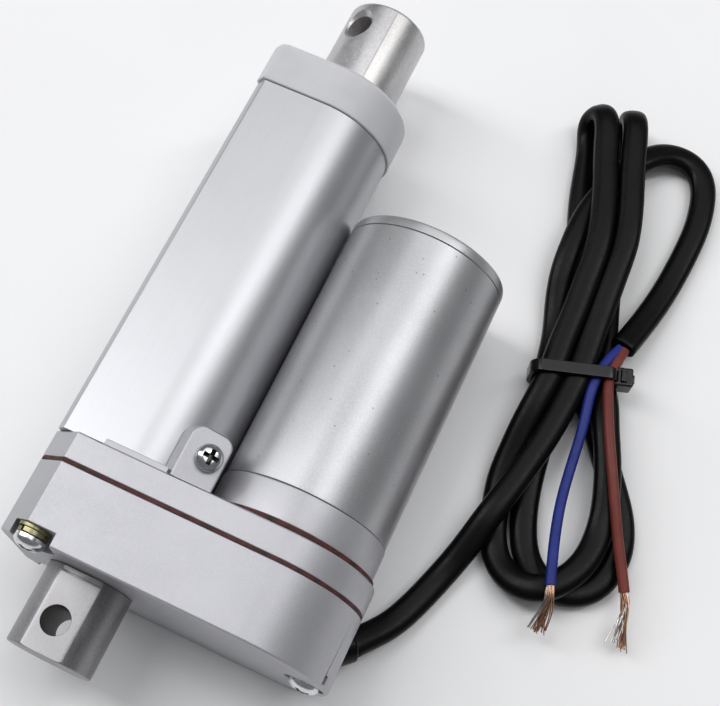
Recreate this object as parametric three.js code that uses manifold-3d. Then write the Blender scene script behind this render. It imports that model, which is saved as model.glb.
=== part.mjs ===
// Linear actuator with a parallel gear motor: a push rod in a flat-backed tube, a gearbox across
// the rear, a motor beside the tube, and a two-core cable tied in a hank.
// Millimetres, +Z up. The actuator lies on its back at Z = 0, and +Y is the way the rod extends.
// The working axes are laid out first with X = 0 and Z = 0 on the rod axis and Y = 0 at the rear
// face of the gearbox; one group then moves them to the centre of the actuator's footprint.
import * as THREE from 'three';
import { mergeVertices } from 'three/addons/utils/BufferGeometryUtils.js';
import Module from 'manifold-3d';

const wasm = await Module();
wasm.setup();

// ---- Driving dimensions --------------------------------------------------------------------
const FACE_GAP = 0.1;          // between faces that are clamped together
const FIT_GAP = 0.3;           // between a piece and the hole that holds it

const CASE_HALF = 19.75;       // half the thickness of the gearbox
const CASE_LEFT = -18.2;
const CASE_END_X = 34.85;      // centre of the round end
const CASE_CORNER_X = 6.5;     // corner cuts on the left side
const CASE_CORNER_Z = 7.8;
const CASE_WALL = 2.6;
const REAR_CASE = [0, 16.4];
const CASE_GASKET = [16.5, 17.3];
const FRONT_CASE = [17.4, 23.3];
const FLOOR = 2.8;             // thickness of the rear wall
const PLATE_Y = 20.3;          // inner face of the front plate

const MOTOR_X = 34.2;
const MOTOR_R = 18.75;
const MOTOR_GASKET = [23.4, 24.3];
const MOTOR_BASE = [24.4, 31.6];
const MOTOR_CAN = [31.7, 94.3];
const MOTOR_END = [94.4, 96.9];

const TUBE_R = 16.3;           // round flank of the outer tube
const TUBE_ARC_X = -1.2;
const TUBE_LEFT = -17.7;
const TUBE_CUT_X = 1.65;       // long bevels on its flat side
const TUBE_CUT_Z = 2.5;
const TUBE_BORE = 13.6;
const TUBE = [23.4, 115.8];
const CAP = [115.9, 127.2];
const CAP_PROUD = 0.45;

const ROD_R = 10;
const ROD_BORE = 6;
const ROD_TIP = 151.1;
const ROD_JOINT = 126.2;
const PIN_HOLE_R = 3.25;
const ROD_HOLE_Y = 144.2;
const ROD_HOLE_TURN = 34 * Math.PI / 180;
const STROKE = 50;

const EYE_TIP = -17.9;
const EYE_FLAT = 8.9;
const EYE_HOLE_Y = -10.8;

const MODULE_MM = 0.8;
const PINION_TEETH = 12;
const IDLER_LARGE_TEETH = 28;
const IDLER_SMALL_TEETH = 14;
const SCREW_TEETH = 32;
const LOW_GEARS = [3.5, 8.8];
const HIGH_GEARS = [9.4, 14.2];

const SCREW_R = 4.9;
const SCREW_SEAT_R = 3.9;
const CORD_WIDTH = 6.2;
const WIRE_D = 2.4;

const ARC_STEPS = 14;          // facets of a half round
const BIG = 36;                // sides of a large round, and of smaller ones
const MEDIUM = 24;
const SMALL = 14;

const RIGHT = CASE_END_X + CASE_HALF;
const SHIFT = [-(CASE_LEFT + RIGHT) / 2, -(EYE_TIP + ROD_TIP) / 2, CASE_HALF];

// ---- Materials -------------------------------------------------------------------------------
const paint = (color, roughness, metalness = 0) =>
  new THREE.MeshStandardMaterial({ color, roughness, metalness });
const looks = {
  casting: paint(0xb9babd, 0.45, 0.6),
  tube: paint(0xcfd2d6, 0.4, 0.8),
  can: paint(0xbfc0c4, 0.38, 0.8),
  steel: paint(0xa9aaac, 0.3, 1),
  zinc: paint(0xcfd0d2, 0.25, 1),
  yellowZinc: paint(0x9a8f5a, 0.35, 1),
  capPlastic: paint(0xd6d6da, 0.45),
  gasket: paint(0x5a2a20, 0.8),
  nylon: paint(0xe6e2d6, 0.5),
  black: paint(0x161618, 0.5),
  brass: paint(0xb08d4a, 0.35, 1),
  ferrite: paint(0x3a3a3c, 0.7),
  copper: paint(0xc4703c, 0.35, 1),
  board: paint(0x1f5a36, 0.6),
  blue: paint(0x28378f, 0.45),
  brown: paint(0x7c3a36, 0.45),
};

// ---- Solids ------------------------------------------------------------------------------------
function solid(geometry) {
  const bare = geometry.index ? geometry.toNonIndexed() : geometry;
  bare.deleteAttribute('normal');
  bare.deleteAttribute('uv');
  const merged = mergeVertices(bare, 1e-4);
  return new wasm.Manifold(new wasm.Mesh({
    numProp: 3,
    vertProperties: new Float32Array(merged.attributes.position.array),
    triVerts: new Uint32Array(merged.index.array),
  }));
}

function toGeometry(body) {
  const mesh = body.getMesh();
  const geometry = new THREE.BufferGeometry();
  geometry.setAttribute('position', new THREE.BufferAttribute(mesh.vertProperties, 3));
  geometry.setIndex(new THREE.BufferAttribute(mesh.triVerts, 1));
  geometry.computeVertexNormals();
  return geometry;
}

// An outline drawn in X and Z, drawn out along Y.
function prismY(shape, y0, y1) {
  const geometry = new THREE.ExtrudeGeometry(shape,
    { depth: y1 - y0, bevelEnabled: false, curveSegments: 12 });
  geometry.rotateX(-Math.PI / 2);
  geometry.translate(0, y0, 0);
  return solid(geometry);
}

// Shapes are drawn with -Z up the page, because prismY turns them over.
function outline(points) {
  return new THREE.Shape(points.map(([x, z]) => new THREE.Vector2(x, -z)));
}

function cylinderY(r, y0, y1, x = 0, z = 0, sides = MEDIUM, rEnd = r) {
  const geometry = new THREE.CylinderGeometry(rEnd, r, y1 - y0, sides);
  geometry.translate(x, (y0 + y1) / 2, z);
  return solid(geometry);
}

function ringY(rOut, rIn, y0, y1, x = 0, z = 0, sides = MEDIUM) {
  return cylinderY(rOut, y0, y1, x, z, sides).subtract(cylinderY(rIn, y0 - 1, y1 + 1, x, z, sides));
}

function box(x0, x1, y0, y1, z0, z1) {
  const geometry = new THREE.BoxGeometry(x1 - x0, y1 - y0, z1 - z0);
  geometry.translate((x0 + x1) / 2, (y0 + y1) / 2, (z0 + z1) / 2);
  return solid(geometry);
}

// A profile of [radius, y] pairs turned about a line parallel to Y.
function turned(profile, x = 0, z = 0, sides = MEDIUM) {
  const points = profile.map(([r, y]) => new THREE.Vector2(r, y));
  const geometry = new THREE.LatheGeometry([...points, points[0]], sides);
  geometry.translate(x, 0, z);
  return solid(geometry);
}

// A round bar between two points, with its own radius at each.
function bar(from, to, r, sides = SMALL, rTo = r) {
  const a = new THREE.Vector3(...from);
  const along = new THREE.Vector3(...to).sub(a);
  const geometry = new THREE.CylinderGeometry(rTo, r, along.length(), sides);
  geometry.translate(0, along.length() / 2, 0);
  geometry.applyQuaternion(new THREE.Quaternion().setFromUnitVectors(
    new THREE.Vector3(0, 1, 0), along.clone().normalize()));
  geometry.translate(a.x, a.y, a.z);
  return solid(geometry);
}

// ---- Outlines ----------------------------------------------------------------------------------
// Gearbox: flat front and back, cut corners on the left, round on the right.
function caseOutline(inset = 0, left = 0) {
  const half = CASE_HALF - inset;
  const cut = inset * 0.4;
  const x0 = CASE_LEFT + inset + left;
  const points = [[x0, -(half - CASE_CORNER_Z + cut)], [x0, half - CASE_CORNER_Z + cut],
    [x0 + CASE_CORNER_X - cut, half]];
  for (let i = 0; i <= ARC_STEPS; i++) {
    const a = Math.PI / 2 - Math.PI * i / ARC_STEPS;
    points.push([CASE_END_X + half * Math.cos(a), half * Math.sin(a)]);
  }
  points.push([x0 + CASE_CORNER_X - cut, -half]);
  return outline(points);
}

// Outer tube and front cap: round flank, flat front and back, bevelled left side.
function tubeOutline(proud = 0) {
  const r = TUBE_R + proud;
  const left = TUBE_LEFT - proud;
  const points = [[left, -(r - TUBE_CUT_Z)], [left, r - TUBE_CUT_Z], [left + TUBE_CUT_X, r]];
  for (let i = 0; i <= ARC_STEPS; i++) {
    const a = Math.PI / 2 - Math.PI * i / ARC_STEPS;
    points.push([TUBE_ARC_X + r * Math.cos(a), r * Math.sin(a)]);
  }
  points.push([left + TUBE_CUT_X, -r]);
  return outline(points);
}

// ---- Gear train ----------------------------------------------------------------------------------
const pitchR = (teeth) => MODULE_MM * teeth / 2;
const IDLER = idlerCentre();

function idlerCentre() {
  const a = pitchR(SCREW_TEETH) + pitchR(IDLER_SMALL_TEETH);
  const b = pitchR(IDLER_LARGE_TEETH) + pitchR(PINION_TEETH);
  const x = (a * a - b * b + MOTOR_X * MOTOR_X) / (2 * MOTOR_X);
  return { x, z: Math.sqrt(a * a - x * x) };
}

// Stub teeth with straight flanks; one tooth is centred on the angle phase, in the XZ plane.
function gear(teeth, y0, y1, x, z, phase) {
  const r = pitchR(teeth);
  const tip = r + 0.7 * MODULE_MM;
  const root = r - 1.05 * MODULE_MM;
  const half = Math.PI * MODULE_MM / 4 - 0.1;
  const slope = Math.tan(24 * Math.PI / 180);
  const halfTip = half - 0.7 * MODULE_MM * slope;
  const halfRoot = half + 0.75 * MODULE_MM * slope;
  const points = [];
  for (let i = 0; i < teeth; i++) {
    const a = phase + 2 * Math.PI * i / teeth;
    for (const [radius, side] of [[root, -halfRoot], [tip, -halfTip], [tip, halfTip], [root, halfRoot]]) {
      const angle = a + side / radius;
      points.push([x + radius * Math.cos(angle), z + radius * Math.sin(angle)]);
    }
  }
  return prismY(outline(points.reverse()), y0, y1);
}

const toScrew = Math.atan2(-IDLER.z, -IDLER.x);
const toMotor = Math.atan2(-IDLER.z, MOTOR_X - IDLER.x);
const idlerSmall = gear(IDLER_SMALL_TEETH, ...LOW_GEARS, IDLER.x, IDLER.z, toScrew);
const idlerLarge = gear(IDLER_LARGE_TEETH, ...HIGH_GEARS, IDLER.x, IDLER.z, toMotor);
const idlerGear = idlerSmall.add(idlerLarge)
  .add(cylinderY(4, LOW_GEARS[1] - 1, HIGH_GEARS[0] + 1, IDLER.x, IDLER.z, MEDIUM))
  .subtract(cylinderY(1.65, 0, 20, IDLER.x, IDLER.z, SMALL));
const screwGear = gear(SCREW_TEETH, ...LOW_GEARS, 0, 0, toScrew + Math.PI + Math.PI / SCREW_TEETH)
  .subtract(cylinderY(SCREW_SEAT_R + 0.15, 0, 20, 0, 0, MEDIUM));
const pinion = gear(PINION_TEETH, ...HIGH_GEARS, MOTOR_X, 0, toMotor + Math.PI + Math.PI / PINION_TEETH)
  .subtract(cylinderY(1.75, 0, 20, MOTOR_X, 0, SMALL));

// ---- Fasteners -------------------------------------------------------------------------------------
const CASE_SCREWS = [
  { x: -10.9, z: 14.6, out: [-0.55, 1] },
  { x: -10.9, z: -14.6, out: [-0.55, -1] },
  { x: 49.4, z: 0, out: [1, 0] },
];
const POCKET_R = 4.4;
const POCKET_SIDES = [-15.2, -5.4];
const POCKET_FLOOR = 3;
const WINDOW_TURN = 20;        // degrees from +X towards +Z
const HEAD_R = 3.4;
const SHANK_R = 1.5;

// Room for a screw head: at the corners it is open through the slanted side, and at the round end it
// is a closed recess with a small window.
function pocket({ x, z }) {
  if (z === 0) {
    const window = box(12, 22, 0.8, 2.6, -0.8, 0.8).rotate([0, -WINDOW_TURN, 0])
      .translate([CASE_END_X, 0, 0]);
    return cylinderY(POCKET_R, -1, POCKET_FLOOR, x, z, MEDIUM).add(window);
  }
  const [left, right] = POCKET_SIDES;
  const far = z + Math.sign(z) * 10;
  return cylinderY((right - left) / 2, -1, POCKET_FLOOR, (left + right) / 2, z, MEDIUM)
    .add(box(left, right, -1, POCKET_FLOOR, Math.min(z, far), Math.max(z, far)));
}

function panHead(r, height) {
  return [[0, 0], [r, 0], [r, height * 0.35], [r * 0.86, height * 0.75], [r * 0.55, height], [0, height]];
}

// A pan-head screw with a cross recess, standing at the origin with its head up +Y.
function crossScrew(r, height, shank, length) {
  const head = turned(panHead(r, height), 0, 0, SMALL);
  const arm = r * 0.55;
  const slot = 0.45;
  const recess = box(-arm, arm, height * 0.45, height + 1, -slot, slot)
    .add(box(-slot, slot, height * 0.45, height + 1, -arm, arm));
  return head.subtract(recess).add(cylinderY(shank, -length, 0.2, 0, 0, SMALL));
}

const WASHER = 0.7;
const SPRING_WASHER = 0.9;
const washerTop = POCKET_FLOOR - FACE_GAP;
const springTop = washerTop - WASHER - FACE_GAP;
const headSeat = springTop - SPRING_WASHER - FACE_GAP;

function caseScrew({ x, z }) {
  return crossScrew(HEAD_R, 2.2, SHANK_R, 17.4).rotate([180, 0, 0]).translate([x, headSeat, z]);
}

// A split spring washer: a ring with a slit at its outer side.
function springWasher({ x, z, out }) {
  const bottom = springTop - SPRING_WASHER;
  const slit = box(-0.3, 0.3, bottom - 1, springTop + 1, 0, 5)
    .rotate([0, Math.atan2(out[0], out[1]) * 180 / Math.PI, 0]).translate([x, 0, z]);
  return ringY(3.1, 1.75, bottom, springTop, x, z, MEDIUM).subtract(slit);
}

const TAB_TILT = 20 * Math.PI / 180;
const TAB_OUT = [Math.sin(TAB_TILT), 0, Math.cos(TAB_TILT)];
const TAB_SCREW = [13.9, 29.9, 17.2];
const TAB_TIP = 35.6;
const TAB_ROUND = 2.6;         // its free corners
const tabAt = (d) => TAB_SCREW.map((v, i) => v + TAB_OUT[i] * d);
const tabScrew = crossScrew(2.95, 2.3, 1.4, 7.2)
  .rotate([90, 0, 0]).rotate([0, TAB_TILT * 180 / Math.PI, 0]).translate(tabAt(0.15));

// The lug beside the tube; its left side slopes outwards.
function tabLug() {
  const [left, right, tip] = [-6.9, 3.8, TAB_TIP - TAB_SCREW[1]];
  const plan = new THREE.Shape();
  plan.moveTo(left, -8);
  plan.lineTo(right, -8);
  plan.absarc(right - TAB_ROUND, tip - TAB_ROUND, TAB_ROUND, 0, Math.PI / 2);
  plan.absarc(left + 1.5 * TAB_ROUND, tip - 1.5 * TAB_ROUND, 1.5 * TAB_ROUND, Math.PI / 2, Math.PI);
  const depth = 16;
  const slab = new THREE.ExtrudeGeometry(plan, { depth, bevelEnabled: false, curveSegments: 5 });
  slab.translate(0, 0, 2 - depth);
  slab.rotateY(TAB_TILT);
  slab.translate(...TAB_SCREW);
  return prismY(outline([[5.2, 13.2], [8.8, 19.1], [17.4, 16], [14, 6]]), FRONT_CASE[1] - 0.5, TAB_TIP)
    .intersect(solid(slab))
    .subtract(cylinderY(TUBE_R + FIT_GAP, 20, 40, TUBE_ARC_X, 0, BIG))
    .subtract(cylinderY(MOTOR_R + 1.3, 20, 40, MOTOR_X, 0, BIG));
}

// ---- Gearbox casing ------------------------------------------------------------------------------
// The cable leaves low on the round end, turned a little towards the rod end.
const BOOT_FROM = [47, 6.4, -8.2];
const BOOT_TO = [57.8, 15.8, -12];
const BOOT_R = 4.3;
const BOOT_TIP_R = 3.4;

function bosses(y0, y1, inset) {
  const clip = prismY(caseOutline(inset), y0, y1);
  return CASE_SCREWS
    .map(({ x, z }) => cylinderY(6, y0, y1, x, z, MEDIUM))
    .reduce((sum, boss) => sum.add(boss))
    .intersect(clip);
}

function rearCasing() {
  let body = prismY(caseOutline(), ...REAR_CASE)
    .subtract(prismY(caseOutline(CASE_WALL), FLOOR, REAR_CASE[1] + 1))
    .add(bosses(FLOOR - 0.5, REAR_CASE[1], 0.5))
    .add(cylinderY(3.4, FLOOR - 0.5, LOW_GEARS[0] - FIT_GAP, IDLER.x, IDLER.z, SMALL))
    .subtract(cylinderY(1.6, 1.2, 6, IDLER.x, IDLER.z, SMALL))
    .subtract(cylinderY(5 + FIT_GAP, -1, FLOOR + 1, 0, 0, MEDIUM));
  for (const screw of CASE_SCREWS) {
    body = body.subtract(pocket(screw)).subtract(cylinderY(1.8, 0, 30, screw.x, screw.z, SMALL));
  }
  // room for the screw gear and the pinion between the bosses
  body = body.subtract(cylinderY(pitchR(SCREW_TEETH) + 1.2, LOW_GEARS[0] - FIT_GAP, 17, 0, 0, BIG))
    .subtract(cylinderY(pitchR(PINION_TEETH) + 1.2, HIGH_GEARS[0] - FIT_GAP, 17, MOTOR_X, 0, MEDIUM));
  return body.subtract(bar(BOOT_FROM, BOOT_TO, BOOT_R + FIT_GAP, 24, BOOT_TIP_R + FIT_GAP))
    .subtract(box(BOOT_FROM[0] - 6, BOOT_FROM[0] + 3, BOOT_FROM[1] - 3, BOOT_FROM[1] + 3,
      BOOT_FROM[2] - 3, BOOT_FROM[2] + 3));
}

function frontCasing() {
  let body = prismY(caseOutline(), ...FRONT_CASE)
    .subtract(prismY(caseOutline(CASE_WALL), FRONT_CASE[0] - 1, PLATE_Y))
    .add(bosses(FRONT_CASE[0], PLATE_Y + 0.5, 0.5))
    .add(cylinderY(3.4, FRONT_CASE[0], PLATE_Y + 0.5, IDLER.x, IDLER.z, SMALL))
    .add(cylinderY(11, FRONT_CASE[0], PLATE_Y + 0.5, 0, 0, MEDIUM))
    .add(tabLug())
    .add(box(-5.9, 8.2, FRONT_CASE[1] - 0.5, FRONT_CASE[1] + 1.1, TUBE_R + 0.5, CASE_HALF - 0.1))
    .subtract(cylinderY(8, FRONT_CASE[0] - 1, 30, 0, 0, MEDIUM))
    .subtract(cylinderY(6, FRONT_CASE[0] - 1, 30, MOTOR_X, 0, MEDIUM))
    .subtract(cylinderY(1.6, FRONT_CASE[0] - 1, 21.6, IDLER.x, IDLER.z, SMALL))
    .subtract(bar(tabAt(1), tabAt(-12), 1.7, SMALL));
  for (const { x, z } of CASE_SCREWS) body = body.subtract(cylinderY(SHANK_R + 0.15, 0, 22, x, z, SMALL));
  for (const side of [-1, 1]) {
    body = body.subtract(cylinderY(1.7, 10, 30, MOTOR_X, side * 11, SMALL));
  }
  return body;
}

function casingGasket() {
  let body = prismY(caseOutline(0.2), ...CASE_GASKET)
    .subtract(prismY(caseOutline(CASE_WALL + 0.2), CASE_GASKET[0] - 1, CASE_GASKET[1] + 1));
  const pads = bosses(CASE_GASKET[0], CASE_GASKET[1], 0.5);
  body = body.add(pads);
  for (const { x, z } of CASE_SCREWS) body = body.subtract(cylinderY(1.8, 0, 30, x, z, SMALL));
  return body.subtract(cylinderY(pitchR(SCREW_TEETH) + 1.2, 0, 30, 0, 0, BIG));
}

// ---- Rear eye, tube, cap and rod -----------------------------------------------------------------
const rearEye = turned([[0, EYE_TIP], [ROD_R - 0.8, EYE_TIP], [ROD_R, EYE_TIP + 0.8], [ROD_R, -FACE_GAP],
  [5, -FACE_GAP], [5, FLOOR - 0.1], [0, FLOOR - 0.1]], 0, 0, BIG)
  .subtract(box(-12, 12, EYE_TIP - 1, -1.2, EYE_FLAT, 12))
  .subtract(box(-12, 12, EYE_TIP - 1, -1.2, -12, -EYE_FLAT))
  .subtract(bar([0, EYE_HOLE_Y, -14], [0, EYE_HOLE_Y, 14], PIN_HOLE_R, MEDIUM));

const SWITCH_SLOT = 5.4;
const outerTube = prismY(tubeOutline(), ...TUBE)
  .subtract(cylinderY(TUBE_BORE, 0, 200, 0, 0, BIG))
  .subtract(box(-16.3, -10, 0, 200, -SWITCH_SLOT, SWITCH_SLOT))
  .subtract(bar(tabAt(1), tabAt(-9), 1.7, SMALL));

function frontCap() {
  const bevel = 1.1;
  const geometry = new THREE.ExtrudeGeometry(tubeOutline(CAP_PROUD),
    { depth: CAP[1] - CAP[0] - bevel, bevelEnabled: true, bevelThickness: bevel, bevelSize: bevel * 0.8,
      bevelOffset: -bevel * 0.8, bevelSegments: 2 });
  geometry.rotateX(-Math.PI / 2);
  geometry.translate(0, CAP[0], 0);
  return solid(geometry)
    .subtract(box(-40, 40, CAP[0] - 5, CAP[0], -40, BIG))
    .subtract(cylinderY(ROD_R + 0.35, 100, 140, 0, 0, BIG))
    .subtract(cylinderY(12.6, 123.2, 140, 0, 0, BIG));
}

const wiperSeal = turned([[ROD_R + 0.1, 123.8], [12.3, 123.5], [12.3, 126.7], [ROD_R + 0.9, 127],
  [ROD_R + 0.1, 126.5]], 0, 0, BIG);
const guideBush = ringY(TUBE_BORE - FIT_GAP, ROD_R + 0.1, 104.5, 114.5, 0, 0, BIG);
const pushRod = ringY(ROD_R, ROD_BORE, 37.3, ROD_JOINT - FACE_GAP, 0, 0, BIG);

const turn = [-Math.sin(ROD_HOLE_TURN), 0, Math.cos(ROD_HOLE_TURN)];
const rodEnd = turned([[0, ROD_JOINT - 8], [ROD_BORE - FIT_GAP, ROD_JOINT - 8],
  [ROD_BORE - FIT_GAP, ROD_JOINT],
  [ROD_R, ROD_JOINT], [ROD_R, ROD_TIP - 0.9], [ROD_R - 0.9, ROD_TIP], [0, ROD_TIP]], 0, 0, BIG)
  .subtract(bar([-14 * turn[0], ROD_HOLE_Y, -14 * turn[2]], [14 * turn[0], ROD_HOLE_Y, 14 * turn[2]],
    PIN_HOLE_R, MEDIUM));

const driveNut = turned([[SCREW_R + 0.2, 27], [13.2, 27], [13.2, 36], [ROD_R - 0.5, 37], [SCREW_R + 0.2, 37]],
  0, 0, BIG);
const leadScrew = turned([[0, 3.2], [SCREW_SEAT_R, 3.2], [SCREW_SEAT_R, 23.8], [SCREW_R, 24.8],
  [SCREW_R, 100], [3.6, 101.2], [0, 101.2]], 0, 0, MEDIUM);
const screwBearing = ringY(7.7, SCREW_SEAT_R + 0.15, 18.2, 23, 0, 0, MEDIUM);
const screwCollar = ringY(6, SCREW_SEAT_R + 0.15, 15.2, 17.4, 0, 0, MEDIUM);

// ---- Motor ------------------------------------------------------------------------------------------
const motorBase = turned([[5.8, MOTOR_BASE[0]], [MOTOR_R + 0.25, MOTOR_BASE[0]],
  [MOTOR_R + 0.25, MOTOR_BASE[1] - 0.4], [MOTOR_R - 0.1, MOTOR_BASE[1]], [5.8, MOTOR_BASE[1]]],
MOTOR_X, 0, BIG)
  .subtract(cylinderY(1.35, MOTOR_BASE[0] - 1, 30, MOTOR_X, 11, SMALL))
  .subtract(cylinderY(1.35, MOTOR_BASE[0] - 1, 30, MOTOR_X, -11, SMALL));
const motorCan = ringY(MOTOR_R, MOTOR_R - 1.2, ...MOTOR_CAN, MOTOR_X, 0, BIG);
const motorEnd = turned([[0, MOTOR_END[0]], [MOTOR_R, MOTOR_END[0]], [MOTOR_R, MOTOR_END[1] - 0.7],
  [MOTOR_R - 0.7, MOTOR_END[1]], [0, MOTOR_END[1]]], MOTOR_X, 0, BIG);
const motorGasket = ringY(MOTOR_R + 0.8, 13.5, ...MOTOR_GASKET, MOTOR_X, 0, BIG)
  .subtract(cylinderY(TUBE_R + FIT_GAP, 20, 40, TUBE_ARC_X, 0, BIG));
const armature = turned([[1.75, 42], [9.5, 42], [12, 46], [13.2, 46], [13.2, 76], [12, 76],
  [9.5, 80], [1.75, 80]], MOTOR_X, 0, MEDIUM);
const motorShaft = cylinderY(1.6, 8.6, 93.6, MOTOR_X, 0, SMALL);
const commutator = ringY(5, 1.75, 80.4, 85.4, MOTOR_X, 0, MEDIUM);
const brushHolder = ringY(MOTOR_R - 1.6, 5.8, 86, 94, MOTOR_X, 0, BIG);
const motorBearing = (y0) => ringY(5.5, 1.75, y0, y0 + 4, MOTOR_X, 0, MEDIUM);

function magnet(side) {
  return ringY(MOTOR_R - 1.5, 14, 43, 79, MOTOR_X, 0, BIG)
    .intersect(box(MOTOR_X - 30, MOTOR_X + 30, 40, 82, side > 0 ? 4 : -30, side > 0 ? 30 : -4));
}

function motorScrew(side) {
  return crossScrew(2.6, 1.8, 1.2, 8).rotate([180, 0, 0]).translate([MOTOR_X, PLATE_Y - 0.1, side * 11]);
}

// ---- Limit switches ------------------------------------------------------------------------------------
const switchBoard = box(-16.1, -15.3, 40, 112, -5, 5);
const limitSwitch = (y0) => box(-15.2, -13.95, y0, y0 + 8, -3, 3);

// ---- Cable ---------------------------------------------------------------------------------------------
// Positions from here on are in the finished frame.
const boot = bar(BOOT_FROM, BOOT_TO, BOOT_R, 24, BOOT_TIP_R)
  .subtract(bar(BOOT_FROM, [2 * BOOT_FROM[0] - BOOT_TO[0], 2 * BOOT_FROM[1] - BOOT_TO[1],
    2 * BOOT_FROM[2] - BOOT_TO[2]], 8, 12));

// A round section drawn along a smooth path through the points.
function tube(points, width, sides, steps) {
  const section = new THREE.Shape(Array.from({ length: sides }, (_, i) => {
    const a = 2 * Math.PI * (i + 0.5) / sides;
    return new THREE.Vector2(width / 2 * Math.cos(a), width / 2 * Math.sin(a));
  }));
  const path = new THREE.CatmullRomCurve3(points.map((p) => new THREE.Vector3(...p)));
  return solid(new THREE.ExtrudeGeometry(section, { steps, extrudePath: path, bevelEnabled: false }));
}

const HANK_TOP = 8.8;
const FOLD_TOP = 12.6;         // where the upper loops lie over each other
const FLOOR_GAP = 0.2;
const LEAD_ROUTE = [[40.1, -50.4, 7.6], [41.8, -48.5, 6.8], [43.4, -44, 5.1], [44.4, -38.5, 3.9],
  [45.4, -32, 3.4], [47.2, -25.5, 3.4], [49.4, -20, 3.4]];
const WIRE_Z = HANK_TOP + FIT_GAP + WIRE_D / 2 + 0.1;
const BLUE_ROUTE = [[61.2, 33, WIRE_Z], [59.6, 28, WIRE_Z], [60.6, 20, WIRE_Z], [62.2, 10, WIRE_Z],
  [63.4, 0, WIRE_Z], [65.5, -10, WIRE_Z], [68.4, -18.5, WIRE_Z], [70.3, -25, WIRE_Z]];
const BROWN_ROUTE = [[64.3, 33, WIRE_Z], [62.4, 28.2, WIRE_Z], [65.8, 18, WIRE_Z], [71.5, 9, WIRE_Z],
  [77, -1.5, WIRE_Z], [82, -11, WIRE_Z], [85.6, -19, WIRE_Z]];

// Flat slab over an oval, leaned by an angle in the plane of the surface.
function oval(x, y, rx, ry, lean, z0, z1) {
  const shape = new THREE.Shape();
  shape.absellipse(0, 0, rx, ry, 0, 2 * Math.PI, false, lean);
  const geometry = new THREE.ExtrudeGeometry(shape,
    { depth: z1 - z0, bevelEnabled: false, curveSegments: 10 });
  geometry.translate(x, y, z0);
  return solid(geometry);
}

const TIE = { x: 56.3, y: 24.9, lean: 18 * Math.PI / 180, half: 9.4, wide: 3, headWide: 4.6 };
const WAIST = 8.6;             // half width of the bundle inside the tie

// A loop of strap around the waist: half is half its inner width, grow opens it out on every side.
function tieLoop(half, z0, z1, wide) {
  const across = new THREE.Shape([new THREE.Vector2(-half, z0), new THREE.Vector2(half, z0),
    new THREE.Vector2(half, z1), new THREE.Vector2(-half, z1)]);
  const geometry = new THREE.ExtrudeGeometry(across, { depth: wide, bevelEnabled: false });
  geometry.rotateX(Math.PI / 2);
  geometry.translate(0, wide / 2, 0);
  geometry.rotateZ(TIE.lean);
  geometry.translate(TIE.x, TIE.y, 0);
  return solid(geometry);
}

const STRAP = 1.1;
const tieTop = WIRE_Z + WIRE_D / 2 + FIT_GAP + STRAP;
const waistLow = FLOOR_GAP + STRAP + FIT_GAP;
const tieHead = box(0, 5.4, -TIE.headWide / 2, TIE.headWide / 2, 4.4, 9.4)
  .translate([TIE.half, 0, 0]).rotate([0, 0, TIE.lean * 180 / Math.PI]).translate([TIE.x, TIE.y, 0]);
const cableTie = tieLoop(TIE.half + STRAP, FLOOR_GAP, tieTop, TIE.wide)
  .subtract(tieLoop(TIE.half, FLOOR_GAP + STRAP, tieTop - STRAP, TIE.wide + 2))
  .add(tieHead);

function cableHank() {
  const lower = oval(66.4, -1.5, 18, 28.5, -0.32, FLOOR_GAP, HANK_TOP);
  const upper = oval(53.5, 64, 19.5, 38, 0.2, FLOOR_GAP, HANK_TOP);
  const folds = oval(47.5, 71, 9.5, 27, 0.31, HANK_TOP - 1, FOLD_TOP);
  const waist = box(-WAIST, WAIST, -12, 12, FLOOR_GAP, HANK_TOP)
    .rotate([0, 0, TIE.lean * 180 / Math.PI]).translate([TIE.x, TIE.y, 0]);
  const throat = tieLoop(TIE.half + STRAP + 8, -1, 20, TIE.headWide + 2 * FIT_GAP)
    .subtract(tieLoop(WAIST, waistLow, HANK_TOP, TIE.headWide + 2));
  return lower.add(upper).add(folds).add(waist).subtract(throat);
}

const hank = cableHank();
const leadSolid = tube(LEAD_ROUTE, CORD_WIDTH, 10, 8)
  .subtract(oval(66.4, -1.5, 18 + FIT_GAP, 28.5 + FIT_GAP, -0.32, -5, SMALL));
const blueWire = tube(BLUE_ROUTE, WIRE_D, 8, 14);
const brownWire = tube(BROWN_ROUTE, WIRE_D, 8, 12);

// Bared strands, a little splayed towards their ends.
function copperEnd(route, to) {
  const last = new THREE.Vector3(...route.at(-1));
  const tip = new THREE.Vector3(...to);
  const step = tip.clone().sub(last).normalize().multiplyScalar(FIT_GAP);
  return bar(last.clone().add(step).toArray(), to, 0.7, 10, 1.5);
}

const blueCopper = copperEnd(BLUE_ROUTE, [71, -33.5, WIRE_Z - 2.4]);
const brownCopper = copperEnd(BROWN_ROUTE, [88.4, -30.5, WIRE_Z - 2.4]);

// ---- Assembly --------------------------------------------------------------------------------------------
const actuator = new THREE.Group();
const cable = new THREE.Group();
actuator.position.set(...SHIFT);

function put(group, name, body, look) {
  const mesh = new THREE.Mesh(toGeometry(body), looks[look]);
  mesh.name = name;
  group.add(mesh);
}

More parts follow.
